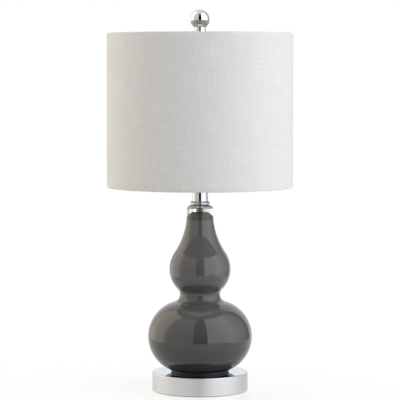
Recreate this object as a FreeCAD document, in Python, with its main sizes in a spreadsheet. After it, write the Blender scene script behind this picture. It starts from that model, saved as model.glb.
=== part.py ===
import FreeCAD, Part

import math
import os

import Sketcher

# Table lamp with a double gourd of glass on a round metal base, in millimetres.
# The origin is the centre of the felt on the underside, +Z is up and -Y is the front.
# A threaded pipe clamps everything from the base to the lamp socket.
# A wire harp over the bulb carries the drum shade, and a ball finial holds the shade down.

doc = FreeCAD.newDocument("double_gourd_lamp")

# Driving dimensions

DIMENSIONS = [
    ("running_gap", 0.05, "radial play of a piece that turns or slides on another"),
    ("loose_gap", 0.3, "room round a piece that is dropped into another"),
    ("pipe_radius", 4.95, "threaded lamp pipe, outside"),
    ("pipe_bore_radius", 3.3, "wire way in the pipe"),
    ("pipe_hole_gap", 0.2, "room round the pipe in each piece threaded on it"),
    ("pipe_drop", 0.7, "pipe end below the lower nut"),
    ("pipe_recess", 1.5, "pipe end below the top of the socket's boss"),
    ("felt_thickness", 1.5, "felt under the base"),
    ("cover_thickness", 2.0, "fibreboard disc that closes the base"),
    ("base_radius", 65.5, "round metal base"),
    ("base_height", 25.4, "table to the top of the base"),
    ("base_wall", 1.2, "side of the base"),
    ("base_top_thickness", 1.5, "top of the base"),
    ("base_edge_radius", 1.6, "rounded top edge of the base"),
    ("base_rim_lift", 0.8, "rim of the base above the table"),
    ("weight_thickness", 11.5, "iron weight in the base"),
    ("weight_chamfer", 1.5, "bevel on the weight"),
    ("lower_washer_radius", 14.0, "flat washer under the weight"),
    ("lower_washer_thickness", 1.5, "flat washer under the weight"),
    ("lock_washer_radius", 8.5, "lock washer under the flat washer"),
    ("lock_washer_thickness", 1.1, "lock washer under the flat washer"),
    ("nut_across_flats", 16.0, "lower nut"),
    ("nut_thickness", 4.0, "lower nut"),
    ("gland_height", 8.0, "axis of the cord gland above the table"),
    ("gland_bore_radius", 3.3, "cord hole through the gland"),
    ("gland_barrel_radius", 4.1, "gland in the wall of the base"),
    ("gland_flange_radius", 5.8, "gland outside the base"),
    ("gland_flange_thickness", 1.8, "gland outside the base"),
    ("gland_tail", 5.0, "gland inside the base"),
    ("gasket_thickness", 0.6, "ring between the base and the glass"),
    ("gasket_width", 14.0, "foot of the glass to the inside of the ring under it"),
    ("gasket_inset", 0.6, "foot of the glass to the outside of the ring under it"),
    ("foot_radius", 39.6, "foot of the gourd"),
    ("lower_centre_radius", 22.1, "centre of the lower bulb's arc, from the axis"),
    ("foot_edge", 1.91, "straight edge of the foot, below the lower bulb's arc"),
    ("lower_arc_radius", 49.3, "arc of the lower bulb"),
    ("bulb_spacing", 92.5, "centre of the lower bulb to centre of the upper"),
    ("waist_radius", 27.54, "narrowest place between the bulbs"),
    ("upper_centre_radius", 3.55, "centre of the upper bulb's lower arc, from the axis"),
    ("upper_arc_radius", 38.4, "lower arc of the upper bulb"),
    ("neck_length", 76.5, "centre of the upper bulb to the narrowest place of the neck"),
    ("neck_radius", 18.2, "neck of the glass"),
    ("lip_height", 7.6, "clear lip above the narrowest place of the neck"),
    ("lip_round", 1.0, "rounded edge of the lip"),
    ("glass_wall", 3.5, "wall of the gourd"),
    ("glass_floor", 5.0, "floor of the gourd"),
    ("glass_hole_radius", 6.5, "hole for the pipe in the floor and the lip"),
    ("dome_drop", 15.0, "foot of the inner dome below the narrowest place of the neck"),
    ("dome_radius", 30.0, "arc of the inner dome, which rises to a point on the axis"),
    ("coat_thickness", 0.5, "colour coat inside the glass"),
    ("plug_flange_radius", 9.0, "rubber plug in the floor of the gourd"),
    ("plug_flange_thickness", 2.0, "rubber plug in the floor of the gourd"),
    ("neck_gasket_thickness", 0.4, "ring between the lip and the cap"),
    ("neck_gasket_width", 7.0, "ring between the lip and the cap"),
    ("cap_radius", 17.8, "cap on the lip"),
    ("cap_height", 3.6, "cap on the lip"),
    ("cap_edge", 0.6, "straight edge of the cap"),
    ("cap_sheet", 0.8, "metal of the cap"),
    ("cap_foot_width", 1.28, "foot of the cap on the lip"),
    ("ring_radius", 13.4, "bead ring on the cap"),
    ("ring_height", 5.2, "bead ring on the cap"),
    ("neck_nut_across_flats", 14.0, "nut hidden in the neck tube"),
    ("neck_nut_thickness", 3.5, "nut hidden in the neck tube"),
    ("tube_radius", 10.9, "neck tube, outside"),
    ("tube_wall", 0.9, "neck tube"),
    ("tube_length", 23.8, "neck tube"),
    ("tube_washer_radius", 12.5, "washer on the neck tube"),
    ("tube_washer_thickness", 2.0, "washer on the neck tube"),
    ("saddle_sheet", 1.5, "strap of the harp saddle"),
    ("saddle_width", 12.0, "strap of the harp saddle"),
    ("saddle_flat", 17.0, "half length of the saddle's flat"),
    ("saddle_rise", 10.0, "saddle to where its arms stand upright"),
    ("saddle_shoulder", 14.7, "saddle to the shoulder of its arms"),
    ("saddle_tongue_top", 18.4, "saddle to the tips of its tongues"),
    ("saddle_tongue_width", 4.6, "tongues that enter the sleeves"),
    ("saddle_hole_wall", 0.84, "metal round the saddle's hole for the pipe"),
    ("harp_height", 190.5, "saddle to the shoulder that carries the shade"),
    ("harp_half_width", 54.0, "harp wire at its widest, to the middle of the wire"),
    ("harp_foot", 25.4, "harp foot, from the axis"),
    ("harp_wire_radius", 1.9, "harp wire"),
    ("harp_straight", 16.0, "straight foot of the harp"),
    ("harp_foot_arc", 20.0, "outward bend above the foot"),
    ("harp_side_arc", 115.0, "long bow of the side"),
    ("harp_lean", 26.37, "degrees that the side leans in where its top corner begins"),
    ("harp_plate_half_length", 12.0, "flattened top of the harp"),
    ("harp_plate_half_width", 5.5, "flattened top of the harp"),
    ("harp_plate_thickness", 2.2, "flattened top of the harp"),
    ("harp_plate_overlap", 4.0, "wire inside the flattened top"),
    ("sleeve_bore_radius", 2.75, "sleeve on the harp foot"),
    ("sleeve_wall", 1.0, "sleeve on the harp foot"),
    ("sleeve_length", 9.0, "sleeve on the harp foot"),
    ("stud_radius", 3.15, "threaded stud for the finial"),
    ("stud_length", 16.5, "stud above its shoulder"),
    ("stud_flange_radius", 6.0, "shoulder of the stud"),
    ("stud_flange_thickness", 2.2, "shoulder of the stud"),
    ("stud_neck_radius", 2.5, "stud in the harp"),
    ("stud_head_radius", 3.8, "riveted head under the harp"),
    ("stud_head_thickness", 1.5, "riveted head under the harp"),
    ("socket_cap_height", 22.0, "bottom cup of the lamp socket"),
    ("socket_cap_radius", 16.9, "bottom cup of the lamp socket"),
    ("socket_sheet", 0.7, "metal of the lamp socket"),
    ("socket_boss_radius", 7.3, "threaded boss of the lamp socket"),
    ("socket_boss_height", 6.5, "threaded boss of the lamp socket"),
    ("socket_boss_floor", 1.4, "floor of the cup over the boss"),
    ("socket_cone_height", 5.5, "slope between the boss and the cup"),
    ("socket_height", 56.0, "lamp socket, from the saddle to its mouth"),
    ("set_screw_radius", 1.6, "screw in the socket's boss"),
    ("set_screw_length", 3.6, "screw in the socket's boss"),
    ("liner_thickness", 0.9, "paper sleeve in the socket"),
    ("liner_recess", 0.7, "paper sleeve below the socket's mouth"),
    ("core_bottom", 14.5, "moulded core, above the saddle"),
    ("core_top", 32.0, "moulded core, above the saddle"),
    ("core_flat", 10.8, "flats for the terminals, from the axis"),
    ("core_flat_height", 8.4, "flats for the terminals"),
    ("terminal_head_radius", 2.8, "terminal screws"),
    ("terminal_head_thickness", 1.6, "terminal screws"),
    ("terminal_shank_radius", 1.6, "terminal screws"),
    ("terminal_shank_length", 4.0, "terminal screws"),
    ("screw_shell_radius", 13.25, "threaded shell for the bulb, inside"),
    ("screw_shell_sheet", 0.4, "threaded shell for the bulb"),
    ("screw_shell_hole_radius", 6.0, "hole in the floor of the threaded shell"),
    ("screw_shell_recess", 1.4, "threaded shell below the socket's mouth"),
    ("contact_radius", 3.0, "middle contact of the socket"),
    ("contact_height", 1.5, "middle contact of the socket"),
    ("stem_radius", 2.4, "stem of the switch"),
    ("stem_rise", 27.0, "axis of the switch above the saddle"),
    ("stem_start", 4.0, "inner end of the stem, from the axis"),
    ("stem_end", 25.0, "outer end of the stem, from the axis"),
    ("knob_radius", 5.6, "knob of the switch"),
    ("knob_start", 18.5, "inner face of the knob, from the axis"),
    ("knob_length", 13.0, "knob of the switch"),
    ("flute_radius", 1.0, "grip flutes of the knob"),
    ("flute_count", 12, "grip flutes of the knob"),
    ("bulb_tip_radius", 4.2, "tip contact of the bulb"),
    ("bulb_tip_point_radius", 3.4, "underside of the bulb's tip contact"),
    ("bulb_tip_height", 1.6, "tip contact of the bulb"),
    ("bulb_insulator_height", 3.0, "dark ring round the tip"),
    ("bulb_cap_play", 0.35, "bulb cap in the socket's threaded shell"),
    ("bulb_cap_length", 20.5, "threaded cap of the bulb"),
    ("bulb_cap_sheet", 0.5, "threaded cap of the bulb"),
    ("bulb_housing_height", 34.0, "moulded housing of the bulb"),
    ("bulb_housing_plug", 10.25, "housing inside the bulb's cap"),
    ("bulb_housing_rim", 2.0, "straight rim of the housing over the cap"),
    ("bulb_rim_overhang", 0.5, "rim of the housing past the cap"),
    ("bulb_globe_radius", 30.0, "frosted globe of the bulb"),
    ("bulb_length", 108.0, "bulb from tip to top"),
    ("bulb_globe_wall", 1.5, "frosted globe of the bulb"),
    ("shade_radius", 127.0, "drum shade, outside"),
    ("shade_height", 209.5, "drum shade"),
    ("spider_recess", 12.4, "rim of the shade above the spider's washer"),
    ("cloth_thickness", 0.55, "cloth of the shade"),
    ("liner_sheet", 0.8, "stiff sheet behind the cloth"),
    ("hem_depth", 8.0, "cloth turned in over the rings"),
    ("ring_wire_radius", 1.5, "wire of the shade's rings and arms"),
    ("arm_count", 3, "arms of the spider"),
    ("arm_overlap", 3.0, "arm welded to the edge of the washer"),
    ("washer_radius", 14.0, "washer of the spider"),
    ("washer_thickness", 1.6, "washer of the spider"),
    ("washer_hole_play", 0.45, "washer of the spider round the stud"),
    ("arm_notch_play", 0.6, "notches of the hem round the arms"),
    ("finial_ball_radius", 13.3, "ball of the finial"),
    ("finial_ball_rise", 29.7, "middle of the ball above the washer"),
    ("finial_foot_radius", 9.6, "foot of the finial"),
    ("finial_foot_height", 2.0, "foot of the finial"),
    ("finial_stem_radius", 7.2, "stem above the foot"),
    ("finial_stem_bottom", 4.0, "stem above the foot's underside"),
    ("finial_collar_radius", 8.6, "collar under the ball"),
    ("finial_collar_bottom", 8.5, "collar under the ball"),
    ("finial_collar_top", 13.5, "collar under the ball"),
    ("finial_waist_radius", 7.9, "waist between the collar and the ball"),
    ("finial_waist_height", 15.8, "waist above the foot's underside"),
    ("finial_insert_radius", 5.2, "brass insert of the finial"),
    ("finial_insert_length", 14.0, "brass insert of the finial"),
    ("finial_hole_depth", 17.5, "hole in the finial"),
]

sheet = doc.addObject("Spreadsheet::Sheet", "Dimensions")
for row, (alias, value, meaning) in enumerate(DIMENSIONS, start=1):
    sheet.set("A%d" % row, meaning)
    sheet.set("B%d" % row, str(value))
    sheet.setAlias("B%d" % row, alias)
doc.recompute()


class Size:
    """A length with the sheet formula that gives it, so that sums of sizes stay bound to the sheet."""

    def __init__(self, value, formula):
        self.value = float(value)
        self.formula = formula

    def __add__(self, other):
        other = as_size(other)
        return Size(self.value + other.value, "(%s + %s)" % (self.formula, other.formula))

    def __sub__(self, other):
        other = as_size(other)
        return Size(self.value - other.value, "(%s - %s)" % (self.formula, other.formula))

    def __mul__(self, other):
        other = as_size(other)
        return Size(self.value * other.value, "(%s * %s)" % (self.formula, other.formula))

    def __truediv__(self, other):
        other = as_size(other)
        return Size(self.value / other.value, "(%s / %s)" % (self.formula, other.formula))

    def __neg__(self):
        return Size(-self.value, "(0 - %s)" % self.formula)


def as_size(number):
    if isinstance(number, Size):
        return number
    return Size(number, repr(number))


def root(size):
    """Square root of a product of two lengths."""
    return Size(math.sqrt(size.value), "sqrt(%s)" % size.formula)


class Dimensions:
    """The sheet's cells by name."""

    def __getattr__(self, alias):
        return Size(sheet.get(alias), "Dimensions." + alias)


d = Dimensions()
ZERO = as_size(0)

# Helpers for sketches, bodies and solids

pieces = []


def keep(piece, label):
    """Give a finished sub-part its name."""
    piece.Label = label
    pieces.append(piece)
    return piece


def place(piece, x=ZERO, y=ZERO, z=ZERO):
    """Bind the position of a piece to the sheet."""
    for axis, size in (("x", x), ("y", y), ("z", z)):
        size = as_size(size)
        if size.value != 0:
            piece.setExpression("Placement.Base." + axis, size.formula)


def turn(piece, x, y, z, degrees):
    """Turn a piece about an axis before it is placed."""
    piece.Placement.Rotation = FreeCAD.Rotation(FreeCAD.Vector(x, y, z), degrees)


def new_sketch(body, name, role, offset=None):
    """A sketch on one of the body's own planes, moved along the plane's normal by an offset."""
    sketch = body.newObject("Sketcher::SketchObject", name)
    for feature in body.Origin.OriginFeatures:
        if feature.Role == role:
            sketch.AttachmentSupport = (feature, "")
    sketch.MapMode = "FlatFace"
    if offset is not None:
        sketch.setExpression("AttachmentOffset.Base.z", offset.formula)
    return sketch


def bind(sketch, kind, size, *where):
    """A dimension of a sketch that follows the sheet."""
    size = as_size(size)
    index = sketch.addConstraint(Sketcher.Constraint(kind, *where, size.value))
    sketch.setExpression("Constraints[%d]" % index, size.formula)


def pin_x(sketch, edge, end, size):
    """Hold a point at a distance from the sketch's upright axis."""
    size = as_size(size)
    if size.value == 0:
        sketch.addConstraint(Sketcher.Constraint("PointOnObject", edge, end, -2))
    else:
        bind(sketch, "DistanceX", size, -1, 1, edge, end)


def pin_y(sketch, edge, end, size):
    """Hold a point at a distance from the sketch's level axis."""
    size = as_size(size)
    if size.value == 0:
        sketch.addConstraint(Sketcher.Constraint("PointOnObject", edge, end, -1))
    else:
        bind(sketch, "DistanceY", size, -1, 1, edge, end)


def arc_between(start, end, radius, centre_left):
    """An arc of less than a half turn, with its centre to the left or right of the way travelled."""
    chord = end - start
    middle = (start + end) * 0.5
    left = FreeCAD.Vector(-chord.y, chord.x, 0).normalize()
    reach = math.sqrt(max(radius ** 2 - (chord.Length / 2) ** 2, 0))
    centre = middle + left * (reach if centre_left else -reach)
    first, last = (start, end) if centre_left else (end, start)
    return arc_about(centre, radius, first, last)


def arc_about(centre, radius, first, last):
    """The arc about a centre that runs anticlockwise from the first point to the last."""
    circle = Part.Circle(centre, FreeCAD.Vector(0, 0, 1), radius)
    first_angle = math.atan2(first.y - centre.y, first.x - centre.x)
    last_angle = math.atan2(last.y - centre.y, last.x - centre.x)
    return Part.ArcOfCircle(circle, first_angle, last_angle)


def draw_outline(sketch, corners):
    """Draw a closed outline. A corner is (x, y), or (x, y, radius, "left" or "right") where the edge
    that leaves it is an arc with its centre on that side."""
    corners = [(as_size(corner[0]), as_size(corner[1])) + tuple(corner[2:]) for corner in corners]
    points = [FreeCAD.Vector(corner[0].value, corner[1].value, 0) for corner in corners]
    ends = []
    for number, corner in enumerate(corners):
        start = points[number]
        end = points[(number + 1) % len(points)]
        if len(corner) == 2:
            edge = sketch.addGeometry(Part.LineSegment(start, end), False)
            ends.append((edge, 1, 2))
        else:
            left = corner[3] == "left"
            edge = sketch.addGeometry(arc_between(start, end, as_size(corner[2]).value, left), False)
            ends.append((edge, 1, 2) if left else (edge, 2, 1))
    for number, (edge, start, end) in enumerate(ends):
        next_edge, next_start, next_end = ends[(number + 1) % len(ends)]
        sketch.addConstraint(Sketcher.Constraint("Coincident", edge, end, next_edge, next_start))
    for number, corner in enumerate(corners):
        edge, start, end = ends[number]
        pin_x(sketch, edge, start, corner[0])
        pin_y(sketch, edge, start, corner[1])
        if len(corner) > 2:
            bind(sketch, "Radius", corner[2], edge)


def draw_circle(sketch, x, y, radius):
    """A circle held to the sheet by its centre and radius."""
    x, y, radius = as_size(x), as_size(y), as_size(radius)
    centre = FreeCAD.Vector(x.value, y.value, 0)
    edge = sketch.addGeometry(Part.Circle(centre, FreeCAD.Vector(0, 0, 1), radius.value), False)
    pin_x(sketch, edge, 3, x)
    pin_y(sketch, edge, 3, y)
    bind(sketch, "Radius", radius, edge)


def revolve(body, sketch, kind="PartDesign::Revolution"):
    """Turn a half section about the upright axis, to add metal or, as a groove, to take it away."""
    feature = body.newObject(kind, sketch.Name + "_turned")
    feature.Profile = sketch
    feature.ReferenceAxis = (sketch, ["V_Axis"])
    feature.Angle = 360
    body.Tip = feature
    return feature


def turned_blank(label, corners, z=ZERO):
    """A body turned from the half section through the corners, seated at a height."""
    body = doc.addObject("PartDesign::Body", label)
    sketch = new_sketch(body, label + "_section", "XZ_Plane")
    draw_outline(sketch, corners)
    revolve(body, sketch)
    place(body, z=z)
    return body


def turned(label, corners, z=ZERO):
    """A sub-part that is finished once it is turned."""
    return keep(turned_blank(label, corners, z), label)


def washer(label, inner, outer, thickness, z):
    """A flat ring."""
    return turned(label, [(inner, 0), (outer, 0), (outer, thickness), (inner, thickness)], z)


def pocket_through(body, sketch, way="both"):
    """Cut a sketch through the body both ways, or only towards the front or the back, and make sure
    that it took something away."""
    doc.recompute()
    before = body.Shape.Volume
    feature = body.newObject("PartDesign::Pocket", sketch.Name + "_cut")
    feature.Profile = sketch
    feature.Type = "ThroughAll"
    feature.Midplane = way == "both"
    feature.Reversed = way == "front"
    body.Tip = feature
    doc.recompute()
    if not body.Shape.Volume < before - 1e-3:
        raise RuntimeError("nothing was cut by " + feature.Name)
    return feature


def polar_copies(body, feature, count):
    """Repeat a feature round the upright axis."""
    pattern = body.newObject("PartDesign::PolarPattern", feature.Name + "_copies")
    pattern.Originals = [feature]
    for axis in body.Origin.OriginFeatures:
        if axis.Role == "Z_Axis":
            pattern.Axis = (axis, [""])
    pattern.Angle = 360
    pattern.setExpression("Occurrences", count.formula)
    body.Tip = pattern
    return pattern


def cylinder(name, radius, length, x=ZERO, y=ZERO, z=ZERO):
    """A round rod that stands upright on its place."""
    rod = doc.addObject("Part::Cylinder", name)
    rod.setExpression("Radius", as_size(radius).formula)
    rod.setExpression("Height", as_size(length).formula)
    place(rod, x, y, z)
    return rod


def cut(name, base, tools):
    """The base with each tool taken away in turn."""
    for number, tool in enumerate(tools):
        result = doc.addObject("Part::Cut", "%s_%d" % (name, number))
        result.Base = base
        result.Tool = tool
        base = result
    return base


def hex_nut(label, across_flats, thickness, z):
    """A six-sided nut on the lamp pipe."""
    block = doc.addObject("Part::Prism", label + "_block")
    block.Polygon = 6
    block.setExpression("Circumradius", (across_flats / 3 ** 0.5).formula)
    block.setExpression("Height", thickness.formula)
    place(block, z=z)
    hole = cylinder(label + "_hole", d.pipe_radius + d.running_gap, thickness * 3, z=z - thickness)
    return keep(cut(label, block, [hole]), label)


# Heights of the stack, each piece seated on the one below

pipe_hole = d.pipe_radius + d.pipe_hole_gap
base_underside = d.base_height - d.base_top_thickness
base_inside = d.base_radius - d.base_wall
weight_bottom = base_underside - d.weight_thickness
lower_washer_bottom = weight_bottom - d.lower_washer_thickness
lock_washer_bottom = lower_washer_bottom - d.lock_washer_thickness
lower_nut_bottom = lock_washer_bottom - d.nut_thickness
pipe_bottom = lower_nut_bottom - d.pipe_drop
glass_bottom = d.base_height + d.gasket_thickness
foot_reach = d.foot_radius - d.lower_centre_radius
lower_centre_rise = d.foot_edge + root(d.lower_arc_radius * d.lower_arc_radius - foot_reach * foot_reach)
upper_centre_rise = lower_centre_rise + d.bulb_spacing
neck_rise = upper_centre_rise + d.neck_length
glass_height = neck_rise + d.lip_height
lip_top = glass_bottom + glass_height
cap_bottom = lip_top + d.neck_gasket_thickness
ring_bottom = cap_bottom + d.cap_height
tube_bottom = ring_bottom + d.ring_height
tube_top = tube_bottom + d.tube_length
saddle_bottom = tube_top + d.tube_washer_thickness
socket_bottom = saddle_bottom + d.saddle_sheet
pipe_top = socket_bottom + d.socket_boss_height - d.pipe_recess
shoulder_top = saddle_bottom + d.harp_height
harp_plate_top = shoulder_top - d.stud_flange_thickness
harp_wire_top = harp_plate_top - d.harp_plate_thickness / 2
harp_foot_bottom = saddle_bottom + d.saddle_tongue_top
finial_bottom = shoulder_top + d.washer_thickness
shade_top = shoulder_top + d.spider_recess
shade_bottom = shade_top - d.shade_height

# Base: felt, cover, shell, iron weight and cord gland

turned("felt_pad", [
    (0, 0),
    (base_inside - d.loose_gap, 0),
    (base_inside - d.loose_gap, d.felt_thickness),
    (0, d.felt_thickness),
])

turned("bottom_cover", [
    (0, 0),
    (base_inside - d.loose_gap, 0),
    (base_inside - d.loose_gap, d.cover_thickness),
    (0, d.cover_thickness),
], d.felt_thickness)

shell_height = d.base_height - d.base_rim_lift
base_shell = turned("base_shell", [
    (base_inside, 0),
    (d.base_radius, 0),
    (d.base_radius, shell_height - d.base_edge_radius, d.base_edge_radius, "left"),
    (d.base_radius - d.base_edge_radius, shell_height),
    (pipe_hole, shell_height),
    (pipe_hole, shell_height - d.base_top_thickness),
    (base_inside, shell_height - d.base_top_thickness),
], d.base_rim_lift)

gland_hole = new_sketch(base_shell, "gland_hole", "XZ_Plane")
draw_circle(gland_hole, 0, d.gland_height - d.base_rim_lift, d.gland_barrel_radius + d.running_gap)
pocket_through(base_shell, gland_hole, "back")

weight_radius = base_inside - d.loose_gap
turned("base_weight", [
    (pipe_hole, 0),
    (weight_radius - d.weight_chamfer, 0),
    (weight_radius, d.weight_chamfer),
    (weight_radius, d.weight_thickness),
    (pipe_hole, d.weight_thickness),
], weight_bottom)

# The gland's outline is drawn along its own axis, and the gland is then laid to point at the back.
# Its flange follows the round wall of the base, so the wall is cut out of it.
gland_start = base_inside - d.gland_tail
gland_flange_bottom = d.gland_tail + d.base_wall / 2
gland_length = d.gland_tail + d.base_wall + d.gland_flange_thickness
gland_blank = turned_blank("cord_gland_blank", [
    (d.gland_bore_radius, 0),
    (d.gland_barrel_radius, 0),
    (d.gland_barrel_radius, gland_flange_bottom),
    (d.gland_flange_radius, gland_flange_bottom),
    (d.gland_flange_radius, gland_length),
    (d.gland_bore_radius, gland_length),
])
turn(gland_blank, 1, 0, 0, -90)
place(gland_blank, y=gland_start, z=d.gland_height)
wall_disc = cylinder("gland_wall_disc", d.base_radius, d.base_height * 2, z=-d.base_height / 2)
gland_core = cylinder("gland_wall_core", d.gland_barrel_radius, gland_length * 2)
turn(gland_core, 1, 0, 0, -90)
place(gland_core, y=gland_start - d.gland_tail, z=d.gland_height)
wall_tool = cut("gland_wall_tool", wall_disc, [gland_core])
keep(cut("cord_gland_cut", gland_blank, [wall_tool]), "cord_gland")

# Lamp pipe with its lower nut and washers

washer("lamp_pipe", d.pipe_bore_radius, d.pipe_radius, pipe_top - pipe_bottom, pipe_bottom)
washer("lower_washer", pipe_hole, d.lower_washer_radius, d.lower_washer_thickness, lower_washer_bottom)
washer("lock_washer", pipe_hole, d.lock_washer_radius, d.lock_washer_thickness, lock_washer_bottom)
hex_nut("lower_nut", d.nut_across_flats, d.nut_thickness, lower_nut_bottom)

# Gourd of clear glass with a colour coat on its inside

washer("foot_gasket", d.foot_radius - d.gasket_width, d.foot_radius - d.gasket_inset,
       d.gasket_thickness, d.base_height)


def waist_arc(inset):
    """Centre height and radius of the arc that touches both bulbs and the narrowest waist, each moved
    in by the inset."""
    lower_radius = d.lower_arc_radius.value - inset
    upper_radius = d.upper_arc_radius.value - inset
    waist = d.waist_radius.value - inset
    spacing = d.bulb_spacing.value
    lower_reach = waist - d.lower_centre_radius.value
    upper_reach = waist - d.upper_centre_radius.value
    lower_square = lower_radius ** 2 - lower_reach ** 2
    upper_square = upper_radius ** 2 - upper_reach ** 2
    share = (upper_radius - upper_reach) / (lower_radius - lower_reach)
    constant = spacing ** 2 - upper_square + share * lower_square
    rise = constant / (spacing + math.sqrt(spacing ** 2 - (1 - share) * constant))
    radius = (rise ** 2 - lower_square) / (2 * (lower_radius - lower_reach))
    return rise + lower_centre_rise.value, radius


def neck_arc_radius():
    """Radius of the outer neck arc, which leaves the upper bulb smoothly and ends upright."""
    upper = d.upper_arc_radius.value + d.upper_centre_radius.value
    neck = d.neck_radius.value
    return (neck ** 2 + d.neck_length.value ** 2 - upper ** 2) / (2 * (upper - neck))


def towards(centre, other, distance):
    """The point at a distance from a centre towards another point."""
    return centre + (other - centre).normalize() * distance


def guide_line(sketch, x, low, high):
    """An upright construction line that an arc touches."""
    line = Part.LineSegment(FreeCAD.Vector(x.value, low.value, 0), FreeCAD.Vector(x.value, high.value, 0))
    edge = sketch.addGeometry(line, True)
    pin_x(sketch, edge, 1, x)
    pin_y(sketch, edge, 1, low)
    pin_x(sketch, edge, 2, x)
    pin_y(sketch, edge, 2, high)
    return edge


def draw_gourd_side(sketch, inset, start, end):
    """Draw the five arcs of the gourd's side, moved in from the outer face by the inset. The start
    and end are rough points on the first and last arc, which the caller holds. Returns the edges."""
    lower_radius = d.lower_arc_radius - inset
    upper_radius = d.upper_arc_radius - inset
    lower = FreeCAD.Vector(d.lower_centre_radius.value, lower_centre_rise.value, 0)
    upper = FreeCAD.Vector(d.upper_centre_radius.value, upper_centre_rise.value, 0)
    crown = FreeCAD.Vector(0, upper_centre_rise.value, 0)
    widest = FreeCAD.Vector(upper.x + upper_radius.value, upper.y, 0)
    waist_height, waist_radius = waist_arc(inset.value)
    waist = FreeCAD.Vector(d.waist_radius.value - inset.value + waist_radius, waist_height, 0)
    neck_radius = neck_arc_radius() + inset.value
    neck = FreeCAD.Vector(d.neck_radius.value - inset.value + neck_radius, neck_rise.value, 0)
    lower_end = towards(lower, waist, lower_radius.value)
    upper_start = towards(upper, waist, upper_radius.value)
    crown_end = towards(crown, neck, widest.x)

    edges = [sketch.addGeometry(arc, False) for arc in (
        arc_about(lower, lower_radius.value, start, lower_end),
        arc_about(waist, waist_radius, upper_start, lower_end),
        arc_about(upper, upper_radius.value, upper_start, widest),
        arc_about(crown, widest.x, widest, crown_end),
        arc_about(neck, neck_radius, end, crown_end),
    )]
    lower_edge, waist_edge, upper_edge, crown_edge, neck_edge = edges
    pin_x(sketch, lower_edge, 3, d.lower_centre_radius)
    pin_y(sketch, lower_edge, 3, lower_centre_rise)
    bind(sketch, "Radius", lower_radius, lower_edge)
    pin_x(sketch, upper_edge, 3, d.upper_centre_radius)
    pin_y(sketch, upper_edge, 3, upper_centre_rise)
    bind(sketch, "Radius", upper_radius, upper_edge)
    pin_y(sketch, upper_edge, 2, upper_centre_rise)
    sketch.addConstraint(Sketcher.Constraint("Coincident", upper_edge, 2, crown_edge, 1))
    pin_x(sketch, crown_edge, 3, ZERO)
    pin_y(sketch, crown_edge, 3, upper_centre_rise)
    sketch.addConstraint(Sketcher.Constraint("Tangent", lower_edge, 2, waist_edge, 2))
    sketch.addConstraint(Sketcher.Constraint("Tangent", waist_edge, 1, upper_edge, 1))
    waist_line = guide_line(sketch, d.waist_radius - inset, lower_centre_rise, upper_centre_rise)
    sketch.addConstraint(Sketcher.Constraint("Tangent", waist_edge, waist_line))
    sketch.addConstraint(Sketcher.Constraint("Tangent", crown_edge, 2, neck_edge, 2))
    neck_line = guide_line(sketch, d.neck_radius - inset, upper_centre_rise, glass_height)
    sketch.addConstraint(Sketcher.Constraint("Tangent", neck_edge, neck_line))
    pin_y(sketch, neck_edge, 3, neck_rise)
    return lower_edge, neck_edge


def draw_chain(sketch, first_edge, first_end, points):
    """Lines from an edge's end through the held points. Returns the last line and its free end."""
    edge, end = first_edge, first_end
    start = sketch.getPoint(edge, end)
    for x, y in points:
        x, y = as_size(x), as_size(y)
        stop = FreeCAD.Vector(x.value, y.value, 0)
        line = sketch.addGeometry(Part.LineSegment(start, stop), False)
        sketch.addConstraint(Sketcher.Constraint("Coincident", edge, end, line, 1))
        pin_x(sketch, line, 2, x)
        pin_y(sketch, line, 2, y)
        edge, end, start = line, 2, stop
    return edge, end


def draw_gourd_outside(sketch):
    """Outer half section of the glass, closed along the axis."""
    start = FreeCAD.Vector(d.foot_radius.value, d.foot_edge.value, 0)
    end = FreeCAD.Vector(d.neck_radius.value, neck_rise.value, 0)
    lower_edge, neck_edge = draw_gourd_side(sketch, ZERO, start, end)
    pin_x(sketch, lower_edge, 1, d.foot_radius)
    pin_y(sketch, neck_edge, 1, neck_rise)
    lip_edge, lip_end = draw_chain(sketch, neck_edge, 1, [(d.neck_radius, glass_height - d.lip_round)])
    round_start = FreeCAD.Vector(d.neck_radius.value, glass_height.value - d.lip_round.value, 0)
    round_end = FreeCAD.Vector(d.neck_radius.value - d.lip_round.value, glass_height.value, 0)
    round_edge = sketch.addGeometry(arc_between(round_start, round_end, d.lip_round.value, True), False)
    sketch.addConstraint(Sketcher.Constraint("Coincident", lip_edge, lip_end, round_edge, 1))
    bind(sketch, "Radius", d.lip_round, round_edge)
    pin_x(sketch, round_edge, 2, d.neck_radius - d.lip_round)
    pin_y(sketch, round_edge, 2, glass_height)
    last_edge, last_end = draw_chain(sketch, round_edge, 2, [(0, glass_height), (0, 0), (d.foot_radius, 0)])
    closing = Part.LineSegment(sketch.getPoint(last_edge, last_end), start)
    foot_edge = sketch.addGeometry(closing, False)
    sketch.addConstraint(Sketcher.Constraint("Coincident", last_edge, last_end, foot_edge, 1))
    sketch.addConstraint(Sketcher.Constraint("Coincident", foot_edge, 2, lower_edge, 1))


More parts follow.
